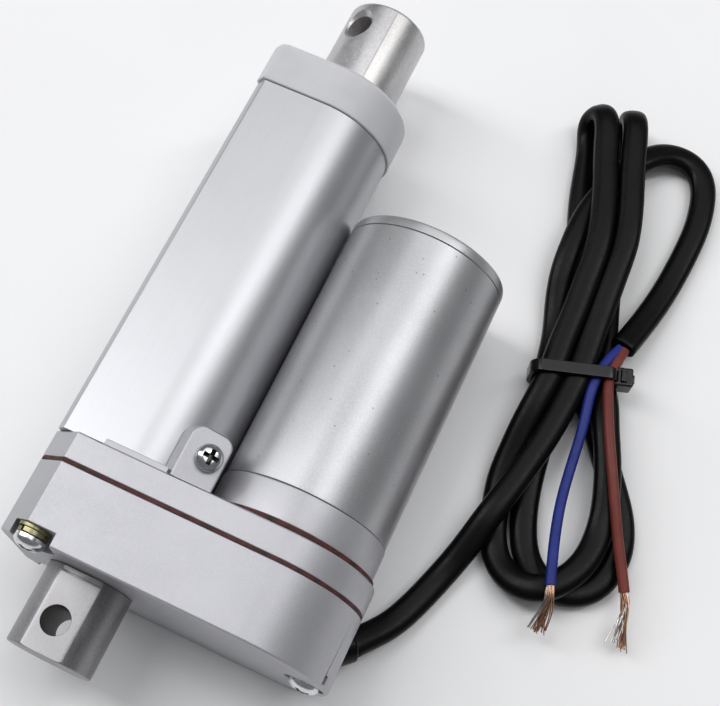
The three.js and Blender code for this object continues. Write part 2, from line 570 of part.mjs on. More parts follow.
put(actuator, 'rear_casing', rearCasing(), 'casting');
put(actuator, 'casing_gasket', casingGasket(), 'gasket');
put(actuator, 'front_casing', frontCasing(), 'casting');
put(actuator, 'rear_eye', rearEye, 'steel');
put(actuator, 'outer_tube', outerTube, 'tube');
put(actuator, 'front_cap', frontCap(), 'capPlastic');
put(actuator, 'wiper_seal', wiperSeal, 'black');
put(actuator, 'guide_bush', guideBush, 'nylon');
put(actuator, 'push_rod', pushRod, 'tube');
put(actuator, 'rod_end', rodEnd, 'tube');
put(actuator, 'drive_nut', driveNut, 'nylon');
put(actuator, 'lead_screw', leadScrew, 'steel');
put(actuator, 'screw_bearing', screwBearing, 'steel');
put(actuator, 'screw_collar', screwCollar, 'steel');
put(actuator, 'screw_gear', screwGear, 'nylon');
put(actuator, 'idler_gear', idlerGear, 'nylon');
put(actuator, 'idler_shaft', cylinderY(1.5, 1.4, 21.3, IDLER.x, IDLER.z, SMALL), 'steel');
put(actuator, 'motor_pinion', pinion, 'brass');
put(actuator, 'motor_gasket', motorGasket, 'gasket');
put(actuator, 'motor_base', motorBase, 'casting');
put(actuator, 'motor_can', motorCan, 'can');
put(actuator, 'motor_end_plate', motorEnd, 'can');
put(actuator, 'motor_shaft', motorShaft, 'steel');
put(actuator, 'motor_armature', armature, 'copper');
put(actuator, 'motor_commutator', commutator, 'copper');
put(actuator, 'motor_brush_holder', brushHolder, 'nylon');
put(actuator, 'motor_front_bearing', motorBearing(25.2), 'steel');
put(actuator, 'motor_rear_bearing', motorBearing(89.6), 'steel');
put(actuator, 'motor_magnet_top', magnet(1), 'ferrite');
put(actuator, 'motor_magnet_bottom', magnet(-1), 'ferrite');
put(actuator, 'motor_screw_top', motorScrew(1), 'zinc');
put(actuator, 'motor_screw_bottom', motorScrew(-1), 'zinc');
put(actuator, 'switch_board', switchBoard, 'board');
put(actuator, 'rear_limit_switch', limitSwitch(42), 'black');
put(actuator, 'front_limit_switch', limitSwitch(STROKE + 42), 'black');
CASE_SCREWS.forEach((screw, i) => {
  const place = ['top', 'bottom', 'end'][i];
  put(actuator, `case_screw_${place}`, caseScrew(screw), 'zinc');
  put(actuator, `spring_washer_${place}`, springWasher(screw), 'yellowZinc');
  put(actuator, `flat_washer_${place}`,
    ringY(3.7, 1.75, washerTop - WASHER, washerTop, screw.x, screw.z, MEDIUM), 'zinc');
});
put(actuator, 'tab_screw', tabScrew, 'zinc');
put(actuator, 'cable_gland', boot, 'black');
put(cable, 'cable_lead', leadSolid, 'black');
put(cable, 'cable_hank', hank, 'black');
put(cable, 'cable_tie', cableTie, 'black');
put(cable, 'blue_wire', blueWire, 'blue');
put(cable, 'brown_wire', brownWire, 'brown');
put(cable, 'blue_strands', blueCopper, 'copper');
put(cable, 'brown_strands', brownCopper, 'copper');

const group = new THREE.Group();
group.add(actuator, cable);
export default group;
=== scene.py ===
# The looks of the linear actuator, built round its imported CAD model: a push rod in a flat-backed
# tube, a gearbox across the rear, a motor beside the tube and a two-core cable tied in a hank.
# Lengths are in millimetres until a mesh is made. The working axes have X = 0 and Z = 0 on the rod
# axis and Y = 0 at the rear face of the gearbox; the cable and everything on it is laid out in the
# frame's own axes.
import math

import bmesh
import bpy
import numpy as np
from mathutils import Matrix, Vector


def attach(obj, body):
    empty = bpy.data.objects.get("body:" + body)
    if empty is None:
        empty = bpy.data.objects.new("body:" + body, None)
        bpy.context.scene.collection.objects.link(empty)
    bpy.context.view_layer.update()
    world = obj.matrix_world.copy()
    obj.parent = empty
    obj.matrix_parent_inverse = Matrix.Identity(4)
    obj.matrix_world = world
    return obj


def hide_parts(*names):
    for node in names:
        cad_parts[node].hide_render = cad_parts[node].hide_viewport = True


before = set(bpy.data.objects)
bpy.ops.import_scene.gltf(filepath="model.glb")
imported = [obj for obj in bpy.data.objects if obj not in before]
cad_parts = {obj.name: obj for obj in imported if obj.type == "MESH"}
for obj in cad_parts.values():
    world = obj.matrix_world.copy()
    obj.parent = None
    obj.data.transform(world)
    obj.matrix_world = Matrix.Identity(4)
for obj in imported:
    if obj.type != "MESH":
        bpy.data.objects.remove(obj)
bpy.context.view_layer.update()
scene = bpy.context.scene

MM = 0.001
WORK_ORIGIN = Vector((-18.2, -66.6, 19.75))  # the working axes' origin in the frame
FRAME_ORIGIN = Vector((0, 0, 0))
UP, ALONG_Y = Vector((0, 0, 1)), Vector((0, 1, 0))

# ---- Dimensions ------------------------------------------------------------------
CASE_HALF, CASE_LEFT, CASE_END_X = 19.75, -18.2, 34.85
CASE_CORNER_X, CASE_CORNER_Z, CASE_WALL = 6.5, 7.8, 2.6
REAR_CASE, CASE_GASKET, FRONT_CASE = (0, 16.48), (16.52, 17.24), (17.28, 23.3)
FLOOR, PLATE_Y = 2.8, 20.3
GEAR_ROOM_R, GEAR_ROOM = 13.9, (3.2, 17)         # inside the rear casing, round the screw gear
PINION_ROOM_R, PINION_ROOM = 6.2, (9.1, 17)
SCREW_OPENING_R, PINION_OPENING_R = 8, 6         # through the front casing
BOSS_R, BOLT_HOLE_R = 6, 1.8
LEDGE_X, LEDGE_TALL = (-5.9, 8.2), 1.1
MOTOR_X, MOTOR_R = 34.2, 18.75
MOTOR_GASKET, MOTOR_BASE = (23.4, 24.3), (24.4, 31.6)
MOTOR_CAN, MOTOR_END = (31.7, 94.3), (94.4, 96.9)
MOTOR_BORE_R, MOTOR_WALL, MOTOR_SIDES = 5.8, 1.2, 160
TUBE_R, TUBE_ARC_X, TUBE_LEFT, TUBE_CUT_X, TUBE_CUT_Z = 16.3, -1.2, -17.7, 1.65, 2.5
TUBE_BORE, TUBE, SWITCH_SLOT = 13.6, (23.4, 115.8), 5.4
CAP, CAP_PROUD, CAP_BEVEL = (115.9, 127.2), 0.45, 1.3
ROD_R, ROD_BORE, ROD_TIP, ROD_JOINT = 10, 6, 151.1, 126.2
PIN_HOLE_R, ROD_HOLE_Y, ROD_HOLE_TURN = 3.25, 144.2, math.radians(34)
WINDOW_TURN = math.radians(20)
EYE_TIP, EYE_FLAT, EYE_HOLE_Y, EYE_NECK_Y = -17.9, 8.5, -10.8, -1.2
EYE_X, EYE_R, EYE_HOLE_R = 0.45, 9.5, 3.1
POCKET_R, POCKET_SIDES, HEAD_R = 4.4, (-15.2, -5.4), 3.4
POCKET_FLOORS = {"top": 3.0, "bottom": 4.4, "end": 3.0}
CASE_SCREWS = {"top": (-10.9, 14.6, (-0.55, 1)), "bottom": (-10.9, -14.6, (-0.55, -1)),
               "end": (49.4, 0, (1, 0))}
HEAD_HIGH, SHANK_R, SHANK_LONG = 2.5, 1.5, 17.4
WASHER_BORE_R, WASHER_R, PLAIN_WASHER, SPLIT_WASHER = 1.75, 3.6, 0.7, 1.1
ROD_LINE_X = 2.25                                # the faint line along the rod
TAB_HEAD_R, TAB_HEAD_HIGH = 2.95, 2.3
TAB_TILT, TAB_AT = math.radians(20), Vector((13.3, 29.9, 17.45))
TAB_TIP, TAB_SIDES, TAB_ROUND, TAB_DEEP, TAB_FLARE = 35.6, (-4.75, 4.4), 2.4, 6.8, 1.4
TAB_OUT = Vector((math.sin(TAB_TILT), 0, math.cos(TAB_TILT)))
TAB_ACROSS = Vector((math.cos(TAB_TILT), 0, -math.sin(TAB_TILT)))
BOOT_FROM, BOOT_TO, BOOT_R, BOOT_TIP_R = (47, 6.4, -8.2), (54.6, 13, -11), 4.3, 3.5
ARC = 64                  # steps of a half round
ROUND, FINE = 96, 48      # sides of a large round, and of a smaller one
GASKET_POINTS = 420
BEYOND = 1                # how far a cut starts outside the body

CABLE_WIDE, CABLE_THICK, WIRE_D = 6.2, 4.2, 2.4
STRANDS, STRAND_R = 24, 0.14
TIE_AT, TIE_LEAN, TIE_WIDE, STRAP = Vector((56.9, 25.1, 0)), math.radians(18), 2.9, 1.0
TIE_LEFT, TIE_RIGHT, TIE_LOW, TIE_HIGH = -9.9, 8.7, 1.3, 10.1      # inside of the strap


# ---- Camera -------------------------------------------------------------------------------------
def make_camera():
    data = bpy.data.cameras.new("camera")
    camera = bpy.data.objects.new("camera", data)
    scene.collection.objects.link(camera)
    camera.location = (0.04928, -0.0975, 0.29062)
    camera.rotation_euler = [math.radians(a) for a in (21.874, -0.632, 25.22)]
    data.sensor_width, data.lens = 36, 65.54
    data.shift_x, data.shift_y = 0.0357, -0.0062
    data.clip_start, data.clip_end = 0.01, 10
    scene.camera = camera


# ---- Node helpers -------------------------------------------------------------------------------
class Look:
    """A material whose colour, roughness and bump come from noise in the frame's own axes."""

    def __init__(self, name, **sockets):
        self.material = bpy.data.materials.new(name)
        self.material.use_nodes = True
        self.tree = self.material.node_tree
        self.shader = self.tree.nodes["Principled BSDF"]
        self.where = self.node("ShaderNodeTexCoord").outputs["Object"]
        for socket, value in sockets.items():
            self.shader.inputs[socket.replace("_", " ")].default_value = value

    def node(self, kind, **settings):
        made = self.tree.nodes.new(kind)
        for key, value in settings.items():
            setattr(made, key, value)
        return made

    def link(self, start, end):
        self.tree.links.new(start, end)

    def texture(self, kind, scale, stretch):
        """A texture node with scale cells to the metre, fewer on an axis that is stretched."""
        mapping = self.node("ShaderNodeMapping")
        mapping.inputs["Scale"].default_value = [scale * s for s in stretch]
        self.link(self.where, mapping.inputs["Vector"])
        made = self.node(kind)
        made.inputs["Scale"].default_value = 1.0
        self.link(mapping.outputs["Vector"], made.inputs["Vector"])
        return made

    def noise(self, scale, stretch=(1, 1, 1), detail=3.0, rough=0.55):
        made = self.texture("ShaderNodeTexNoise", scale, stretch)
        made.inputs["Detail"].default_value = detail
        made.inputs["Roughness"].default_value = rough
        return made.outputs["Fac"]

    def spots(self, scale, size):
        """1 at scattered small dots and 0 elsewhere."""
        cells = self.texture("ShaderNodeTexVoronoi", scale, (1, 1, 1))
        return self.ranged(cells.outputs["Distance"], size * 0.6, size, 1, 0)

    def ranged(self, value, low, high, to_low, to_high):
        made = self.node("ShaderNodeMapRange")
        for i, number in enumerate((low, high, to_low, to_high)):
            made.inputs[i + 1].default_value = number
        self.link(value, made.inputs["Value"])
        return made.outputs["Result"]

    def maths(self, operation, a, b):
        made = self.node("ShaderNodeMath", operation=operation)
        for socket, value in zip(made.inputs, (a, b)):
            if isinstance(value, (int, float)):
                socket.default_value = value
            else:
                self.link(value, socket)
        return made.outputs[0]

    def mixed(self, factor, a, b):
        """Colour a where factor is 0 and b where it is 1; each is a colour or a socket."""
        made = self.node("ShaderNodeMix", data_type="RGBA")
        self.link(factor, made.inputs[0])
        for socket, value in ((made.inputs[6], a), (made.inputs[7], b)):
            if isinstance(value, tuple):
                socket.default_value = (*value, 1)
            else:
                self.link(value, socket)
        return made.outputs[2]

    def colour(self, socket):
        self.link(socket, self.shader.inputs["Base Color"])

    def roughness(self, value, low, high):
        self.link(self.ranged(value, 0.3, 0.7, low, high), self.shader.inputs["Roughness"])

    def bump(self, *layers):
        """Each layer is (height socket, distance in metres)."""
        normal = None
        for height, distance in layers:
            made = self.node("ShaderNodeBump")
            made.inputs["Strength"].default_value = 1.0
            made.inputs["Distance"].default_value = distance
            self.link(height, made.inputs["Height"])
            if normal is not None:
                self.link(normal, made.inputs["Normal"])
            normal = made.outputs["Normal"]
        self.link(normal, self.shader.inputs["Normal"])


# ---- Materials ----------------------------------------------------------------------------------
def painted(name, dark, light, metallic, rough, grain=5200, relief=6e-6):
    """Satin silver paint with fine flakes and a faint orange peel."""
    look = Look(name, Metallic=metallic)
    cloud = look.ranged(look.noise(38, detail=2), 0.3, 0.7, 0, 1)
    flake = look.ranged(look.noise(grain, detail=1), 0.42, 0.68, 0, 1)
    base = look.mixed(cloud, dark, light)
    bright = tuple(min(1, c * 1.1) for c in light)
    look.colour(look.mixed(look.maths("MULTIPLY", flake, 0.55), base, bright))
    look.roughness(look.noise(700), rough - 0.015, rough + 0.015)
    look.bump((look.noise(1300, detail=2), relief * 0.15), (look.noise(grain, detail=1), relief * 0.4))
    return look


def brushed(name, dark, light, rough, along, grain=2600, relief=3e-6, metallic=1.0, vary=1.0):
    """Metal with fine lines; along is the stretch that makes them long on one axis."""
    look = Look(name, Metallic=metallic)
    lines = look.noise(grain, along, detail=4, rough=0.6)
    cloud = look.noise(60, detail=3)
    tone = look.ranged(look.maths("ADD", lines, cloud), 0.75, 1.3, 0, 1)
    look.colour(look.mixed(tone, dark, light))
    look.roughness(look.maths("ADD", look.maths("MULTIPLY", lines, 0.6),
                              look.maths("MULTIPLY", cloud, 0.4)),
                   rough - 0.05 * vary, rough + 0.08 * vary)
    look.bump((lines, relief))
    return look


def moulded(name, dark, light, rough, relief=4e-6, grain=900, **sockets):
    look = Look(name, **sockets)
    cloud = look.noise(grain * 0.12, detail=4)
    look.colour(look.mixed(look.ranged(cloud, 0.3, 0.7, 0, 1), dark, light))
    look.roughness(look.noise(grain), rough - 0.05, rough + 0.07)
    look.bump((look.noise(grain * 3, detail=2), relief))
    return look


def can_look():
    """The paint of the motor can, with a few dark specks."""
    look = painted("motor_can_silver", (0.38, 0.382, 0.395), (0.46, 0.462, 0.475), 0.75, 0.36, 3600,
                   4e-6)
    specks = look.spots(330, 0.075)
    base = look.shader.inputs["Base Color"].links[0].from_socket
    look.colour(look.mixed(specks, base, (0.2, 0.19, 0.19)))
    return look


def mottle(look, rough):
    """The fine blasted grain and handling marks of machined metal, as a factor from 0 to 1."""
    grain = look.noise(1900, detail=4, rough=0.65)
    marks = look.noise(190, (1, 0.35, 1), detail=4)
    look.roughness(look.maths("ADD", look.maths("MULTIPLY", grain, 0.5),
                              look.maths("MULTIPLY", marks, 0.5)), rough - 0.06, rough + 0.1)
    look.bump((grain, 5e-6), (marks, 8e-6))
    return look.ranged(look.maths("ADD", grain, marks), 0.8, 1.25, 0, 1)


def eye_look():
    look = Look("milled_steel", Metallic=0.95)
    look.colour(look.mixed(mottle(look, 0.36), (0.225, 0.22, 0.23), (0.31, 0.305, 0.315)))
    return look


def rod_look():
    """Turned aluminium with a faint line along it, and a highlight painted on its top just right of the
    line.
    """
    look = Look("turned_aluminium", Metallic=0.95)
    tone = mottle(look, 0.36)
    dull = look.mixed(tone, (0.47, 0.465, 0.475), (0.64, 0.635, 0.645))
    bright = look.mixed(tone, (0.6, 0.585, 0.575), (0.76, 0.745, 0.73))
    place = look.node("ShaderNodeSeparateXYZ")
    look.link(look.where, place.inputs["Vector"])
    x, y, z = place.outputs
    line, tip, axis = ((WORK_ORIGIN.x + ROD_LINE_X) * MM, (WORK_ORIGIN.y + ROD_TIP) * MM,
                       WORK_ORIGIN.z * MM)
    side = look.maths("MULTIPLY", look.ranged(y, tip - 1.2e-3, tip - 1e-3, 1, 0),
                      look.ranged(z, axis, axis + 2e-3, 0, 1))
    # Painted highlight: a band on the top of the rod, just right of the line, is coloured brighter.
    painted_highlight = look.maths("MULTIPLY", look.ranged(x, line - 1e-4, line + 2e-4, 0, 1),
                      look.ranged(x, line + 2e-3, line + 7e-3, 1, 0))
    scribed = look.maths("COMPARE", x, line)
    scribed.node.inputs[2].default_value = 1.6e-4     # half the width of the line
    scribed = look.maths("MULTIPLY", look.maths("MULTIPLY", scribed, 0.35), side)
    look.colour(look.mixed(scribed, look.mixed(look.maths("MULTIPLY", painted_highlight, side), dull, bright),
                           (0.12, 0.12, 0.12)))
    return look


def gasket_look():
    look = Look("gasket_fibre")
    fibres = look.noise(2600, (1, 0.5, 1), detail=4)
    patches = look.noise(420, detail=3)
    tone = look.ranged(look.maths("ADD", fibres, patches), 0.8, 1.25, 0, 1)
    look.colour(look.mixed(tone, (0.014, 0.004, 0.004), (0.115, 0.02, 0.018)))
    look.roughness(fibres, 0.6, 0.85)
    look.bump((fibres, 4e-5), (patches, 8e-5))
    return look


EVENLY = (1, 1, 1)
LOOKS = {
    "casting": painted("silver_paint", (0.385, 0.385, 0.41), (0.455, 0.455, 0.48), 0.5, 0.42),
    "tube": brushed("anodised_tube", (0.482, 0.487, 0.507), (0.51, 0.515, 0.535), 0.39,
                    (1, 0.02, 1), 2200, 4e-7, 0.85, 0.35),
    "can": can_look(),
    "machined": rod_look(),
    "eye": eye_look(),
    # Painted shade: a dark look for the inside of the eye's hole and of the screw heads' recesses.
    "bore": brushed("drilled_bore_painted_shade", (0.09, 0.087, 0.086), (0.2, 0.195, 0.19), 0.5, EVENLY, 900, 3e-5),
    # Painted shade: a darker, less metallic look for the inside of the rod end's hole.
    "rod_hole_painted_shade": brushed("rod_hole_painted_shade", (0.3, 0.29, 0.29), (0.5, 0.48, 0.48), 0.5, EVENLY, 900, 3e-5,
                         0.4),
    "cap": moulded("cap_plastic", (0.58, 0.58, 0.605), (0.635, 0.635, 0.66), 0.42, 3e-6,
                   Subsurface_Weight=0.35, Subsurface_Scale=0.004,
                   Subsurface_Radius=(1.0, 0.95, 0.9)),
    "gasket": gasket_look(),
    "zinc": brushed("bright_zinc", (0.55, 0.56, 0.58), (0.8, 0.8, 0.82), 0.2, EVENLY, 1500),
    "spring": brushed("olive_zinc", (0.17, 0.155, 0.085), (0.36, 0.335, 0.2), 0.34, EVENLY, 1500),
    "sheath": moulded("cable_sheath", (0.0014, 0.0014, 0.0016), (0.0026, 0.0026, 0.003), 0.32, 5e-6,
                      1100, Specular_IOR_Level=0.13),
    "tie": moulded("black_nylon", (0.003, 0.003, 0.0035), (0.006, 0.006, 0.0065), 0.2, 3e-6,
                   Specular_IOR_Level=0.34),
    "blue": moulded("blue_wire", (0.012, 0.022, 0.16), (0.022, 0.036, 0.24), 0.42, 3e-6, 1400,
                    Specular_IOR_Level=0.22),
    "brown": moulded("brown_wire", (0.13, 0.026, 0.02), (0.19, 0.042, 0.033), 0.42, 3e-6, 1400,
                     Specular_IOR_Level=0.22),
    "copper": brushed("copper_strand", (0.42, 0.2, 0.11), (0.85, 0.58, 0.43), 0.3, (1, 0.3, 1), 3000,
                      2e-6),
    "tinned": brushed("tinned_strand", (0.5, 0.47, 0.45), (0.72, 0.68, 0.66), 0.3, (1, 0.3, 1), 3000,
                      2e-6),
    "steel": brushed("plain_steel", (0.5, 0.5, 0.51), (0.7, 0.7, 0.71), 0.32, (0.25, 1, 0.25), 2400,
                     2e-6),
    "nylon": moulded("nylon", (0.62, 0.58, 0.48), (0.74, 0.7, 0.6), 0.45),
    "rubber": moulded("seal_rubber", (0.012, 0.012, 0.013), (0.03, 0.03, 0.03), 0.6),
    "brass": brushed("brass", (0.5, 0.34, 0.12), (0.74, 0.54, 0.24), 0.32, EVENLY),
    "winding": brushed("copper_winding", (0.4, 0.15, 0.06), (0.75, 0.36, 0.18), 0.35,
                       (1, 0.1, 1), 1200, 2e-5),
    "ferrite": moulded("ferrite", (0.03, 0.03, 0.033), (0.06, 0.06, 0.064), 0.6),
    "board": moulded("board", (0.01, 0.09, 0.04), (0.02, 0.15, 0.07), 0.5),
}


# ---- Mesh helpers -------------------------------------------------------------------------------
def finish(name, mesh, look, body, nodes=(), origin=WORK_ORIGIN, angle=38):
    """A piece from a mesh in millimetres: moved into the frame, shaded and ridden."""
    mesh.transform(Matrix.Translation(origin * MM) @ Matrix.Scale(MM, 4))
    mesh.name = name
    mesh.shade_smooth()
    mesh.set_sharp_from_angle(angle=math.radians(angle))
    mesh.materials.clear()
    mesh.materials.append(LOOKS[look].material)
    piece = bpy.data.objects.new(name, mesh)
    scene.collection.objects.link(piece)
    normals = piece.modifiers.new("normals", "WEIGHTED_NORMAL")
    normals.keep_sharp = True
    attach(piece, body)
    if nodes:
        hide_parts(*nodes)
    return piece


def bored(piece, y, r, way, look):
    """The inside of a hole drilled across a bar gets a darker look of its own, as painted shade."""
    piece.data.materials.append(LOOKS[look].material)
    at = Vector((0, y, 0)) + WORK_ORIGIN
    for face in piece.data.polygons:
        spots = [piece.data.vertices[i].co / MM - at for i in face.vertices]
        if all((spot - way * spot.dot(way)).length < r + 0.1 for spot in spots):
            face.material_index = 1


def mesh_from(verts, faces):
    mesh = bpy.data.meshes.new("part")
    mesh.from_pydata([tuple(v) for v in verts], [], faces)
    bm = bmesh.new()
    bm.from_mesh(mesh)
    bmesh.ops.remove_doubles(bm, verts=bm.verts, dist=1e-5)
    bmesh.ops.recalc_face_normals(bm, faces=bm.faces)
    bm.to_mesh(mesh)
    bm.free()
    return mesh


def stacked(rings):
    """A closed body from rings of the same number of points, each joined to the next."""
    verts, faces, n = [p for ring in rings for p in ring], [], len(rings[0])
    for k in range(len(rings) - 1):
        for i in range(n):
            j = (i + 1) % n
            faces.append((k * n + i, k * n + j, (k + 1) * n + j, (k + 1) * n + i))
    faces.append(tuple(range(n))[::-1])
    faces.append(tuple((len(rings) - 1) * n + i for i in range(n)))
    return mesh_from(verts, faces)


def prism(outline, y0, y1, ease0=0.0, ease1=0.0, steps=3):
    """outline(inset) gives points in X and Z; the edges at y0 and y1 are eased by a small round."""
    rings = []
    for y, ease, way in ((y0, ease0, 1), (y1, ease1, -1)):
        level = []
        for i in range(steps + 1 if ease else 1):
            turn = math.pi / 2 * i / steps if ease else math.pi / 2
            inset = ease * (1 - math.sin(turn))
            level.append([(x, y + way * ease * (1 - math.cos(turn)), z) for x, z in outline(inset)])
        rings += level if way > 0 else level[::-1]
    return stacked(rings)


def turned(profile, x=0.0, z=0.0, sides=ROUND):
    """A closed profile of (radius, y) pairs turned about a line parallel to Y."""
    verts, faces, n = [], [], len(profile)
    for i in range(sides):
        c, s = math.cos(2 * math.pi * i / sides), math.sin(2 * math.pi * i / sides)
        verts += [(x + r * c, y, z + r * s) for r, y in profile]
        j = (i + 1) % sides
        for k in range(n):
            above = (k + 1) % n
            faces.append((i * n + k, i * n + above, j * n + above, j * n + k))
    return mesh_from(verts, faces)


def aimed(mesh, start, way):
    """A mesh made along +Y from the origin, moved to start and turned to point along way."""
    turn = ALONG_Y.rotation_difference(way).to_matrix().to_4x4()
    mesh.transform(Matrix.Translation(start) @ turn)
    return mesh


def rod_mesh(start, end, r, r_end=None):
    """A round bar between two points, with r_end as its radius at the far one."""
    start, end = Vector(start), Vector(end)
    length = (end - start).length
    profile = [(0, 0), (r, 0), (r if r_end is None else r_end, length), (0, length)]
    return aimed(turned(profile, sides=FINE), start, end - start)


def block(x0, x1, y0, y1, z0, z1):
    corners = [(x, y, z) for x in (x0, x1) for y in (y0, y1) for z in (z0, z1)]
    return mesh_from(corners, [(0, 1, 3, 2), (4, 6, 7, 5), (0, 4, 5, 1), (2, 3, 7, 6), (0, 2, 6, 4),
                               (1, 5, 7, 3)])


def placed(mesh):
    made = bpy.data.objects.new("body", mesh)
    scene.collection.objects.link(made)
    return made


def worked_out(base):
    """The mesh that a body's modifiers make."""
    graph = bpy.context.evaluated_depsgraph_get()
    return bpy.data.meshes.new_from_object(base.evaluated_get(graph))


def combine(mesh, tools, operation="DIFFERENCE"):
    """mesh with each tool mesh cut from it, added to it or crossed with it."""
    base, cutters = placed(mesh), [placed(tool) for tool in tools]
    for cutter in cutters:
        modifier = base.modifiers.new("cut", "BOOLEAN")
        modifier.operation, modifier.object, modifier.solver = operation, cutter, "EXACT"
    result = worked_out(base)
    for used in [base, *cutters]:
        bpy.data.objects.remove(used)
    return result


def bevelled(mesh, width, segments=2, angle=40):
    base = placed(mesh)
    modifier = base.modifiers.new("bevel", "BEVEL")
    modifier.width, modifier.segments = width, segments
    modifier.limit_method, modifier.angle_limit = "ANGLE", math.radians(angle)
    modifier.use_clamp_overlap = False
    result = worked_out(base)
    bpy.data.objects.remove(base)
    return result


def quarter(x, y, r, start):
    """Points of a quarter round about (x, y), from the angle start in degrees."""
    turns = [math.radians(start + 90 * i / 8) for i in range(9)]
    return [(x + r * math.cos(a), y + r * math.sin(a)) for a in turns]


# ---- Outlines -----------------------------------------------------------------------------------
def case_outline(inset=0.0):
    half, cut, x0 = CASE_HALF - inset, inset * 0.4, CASE_LEFT + inset
    corner = half - CASE_CORNER_Z + cut
    points = [(x0, -corner), (x0, corner), (x0 + CASE_CORNER_X - cut, half)]
    for i in range(ARC + 1):
        a = math.pi / 2 - math.pi * i / ARC
        points.append((CASE_END_X + half * math.cos(a), half * math.sin(a)))
    return points + [(x0 + CASE_CORNER_X - cut, -half)]


def tube_outline(proud=0.0):
    r, left = TUBE_R + proud, TUBE_LEFT - proud
    points = [(left, -(r - TUBE_CUT_Z)), (left, r - TUBE_CUT_Z), (left + TUBE_CUT_X, r)]
    for i in range(ARC + 1):
        a = math.pi / 2 - math.pi * i / ARC
        points.append((TUBE_ARC_X + r * math.cos(a), r * math.sin(a)))
    return points + [(left + TUBE_CUT_X, -r)]


def cylinder(r, y0, y1, x=0.0, z=0.0, sides=FINE):
    return turned([(0, y0), (r, y0), (r, y1), (0, y1)], x, z, sides)


# ---- Casings ------------------------------------------------------------------------------------
def pocket(place, z):
    """Room for a screw head, open through the slanted corner of the casing."""
    (left, right), floor = POCKET_SIDES, POCKET_FLOORS[place]
    deep, far = z * 0.96, math.copysign(30, z)
    outline = [(left, deep), (right, deep), (right, far), (left, far)]
    return [cylinder((right - left) / 2, -BEYOND, floor, (left + right) / 2, deep),
            stacked([[(x, y, level) for x, level in outline] for y in (-BEYOND, floor)])]


def end_pocket(x, z):
    """The round recess at the far end, with a small window through the side of the casing."""
    window = block(12, 24, 0.8, 2.6, -0.8, 0.8)
    window.transform(Matrix.Translation((CASE_END_X, 0, 0)) @ Matrix.Rotation(-WINDOW_TURN, 4, "Y"))
    return [cylinder(POCKET_R, -BEYOND, POCKET_FLOORS["end"], x, z), window]


def bosses(y0, y1):
    """The round pads that the casing screws pass through, inside the outline."""
    limit = prism(lambda inset: case_outline(0.5), y0, y1)
    pads = [cylinder(BOSS_R, y0, y1, x, z) for x, z, _ in CASE_SCREWS.values()]
    return [combine(pad, [limit.copy()], "INTERSECT") for pad in pads]


def make_casings():
    rear = combine(prism(case_outline, *REAR_CASE, 0.5, 0.25),
                   [prism(lambda inset: case_outline(CASE_WALL), FLOOR, REAR_CASE[1] + BEYOND)])
    rear = combine(rear, bosses(FLOOR - 0.5, REAR_CASE[1] - 0.05), "UNION")
    cuts = [cylinder(GEAR_ROOM_R, *GEAR_ROOM), cylinder(PINION_ROOM_R, *PINION_ROOM, MOTOR_X),
            rod_mesh(BOOT_FROM, BOOT_TO, BOOT_R + 0.3, BOOT_TIP_R + 0.3)]
    for place, (x, z, _) in CASE_SCREWS.items():
        cuts += end_pocket(x, z) if place == "end" else pocket(place, z)
        cuts.append(cylinder(BOLT_HOLE_R, 0, 30, x, z, 24))
    rear = bevelled(combine(rear, cuts), 0.18)
    finish("gearbox_rear", rear, "casting", "housing", ["rear_casing"])

    back, face = FRONT_CASE
    front = combine(prism(case_outline, back, face, 0.25, 0.5),
                    [prism(lambda inset: case_outline(CASE_WALL), back - BEYOND, PLATE_Y)])
    front = combine(front, bosses(back + 0.05, PLATE_Y + 0.5), "UNION")
    ledge = block(*LEDGE_X, face - 0.5, face + LEDGE_TALL, TUBE_R + 0.5, CASE_HALF - 0.1)
    front = combine(front, [tab_mesh(), ledge], "UNION")
    front = combine(front, [cylinder(SCREW_OPENING_R, 16, 30),
                            cylinder(PINION_OPENING_R, 16, 30, MOTOR_X)])
    finish("gearbox_front", bevelled(front, 0.2), "casting", "housing", ["front_casing"])


def tab_mesh():
    """The lug beside the tube: its free corners are round and its left side slopes outwards."""
    rings, foot = [], FRONT_CASE[1] - 0.5
    for deep, flare in ((TAB_DEEP, TAB_FLARE), (0.25, 0.05), (0, -0.2)):
        left, right = TAB_SIDES[0] - flare, TAB_SIDES[1] + min(flare, 0)
        top = TAB_TIP + min(flare, 0) - TAB_ROUND
        flat = [(right, foot), *quarter(right - TAB_ROUND, top, TAB_ROUND, 0),
                *quarter(left + TAB_ROUND, top, TAB_ROUND, 90), (left, foot)]
        level = TAB_AT - TAB_OUT * deep
        rings.append([level + TAB_ACROSS * x + Vector((0, y - TAB_AT.y, 0)) for x, y in flat])
    return combine(stacked(rings), [tube_room(), cylinder(MOTOR_R + 1.3, 20, 40, MOTOR_X, 0, 128)])


def tube_room():
    """Where the round flank of the tube goes, cut from its neighbours."""
    return cylinder(TUBE_R + 0.3, 20, 40, TUBE_ARC_X, 0, 128)


def gasket_mesh(outer, inner, y0, y1, wobble):
    """A thin sheet between two closed outlines, whose outer edge is uneven.

    An outline has (x, z, normal x, normal z) at each point.
    """
    outer = [(x + wobble(i) * nx, z + wobble(i) * nz) for i, (x, z, nx, nz) in enumerate(outer)]
    inner = [(x, z) for x, z, _, _ in inner]
    verts, faces, n = [], [], len(outer)
    for ring, y in ((outer, y0), (outer, y1), (inner, y1), (inner, y0)):
        verts += [(x, y, z) for x, z in ring]
    for k in range(4):
        for i in range(n):
            j = (i + 1) % n
            a, b = k * n, ((k + 1) % 4) * n
            faces.append((a + i, a + j, b + j, b + i))
    return mesh_from(verts, faces)


def circle(r):
    """An outline round the motor's axis."""
    turns = [2 * math.pi * i / GASKET_POINTS for i in range(GASKET_POINTS)]
    return [(MOTOR_X + r * math.cos(a), r * math.sin(a), math.cos(a), math.sin(a)) for a in turns]


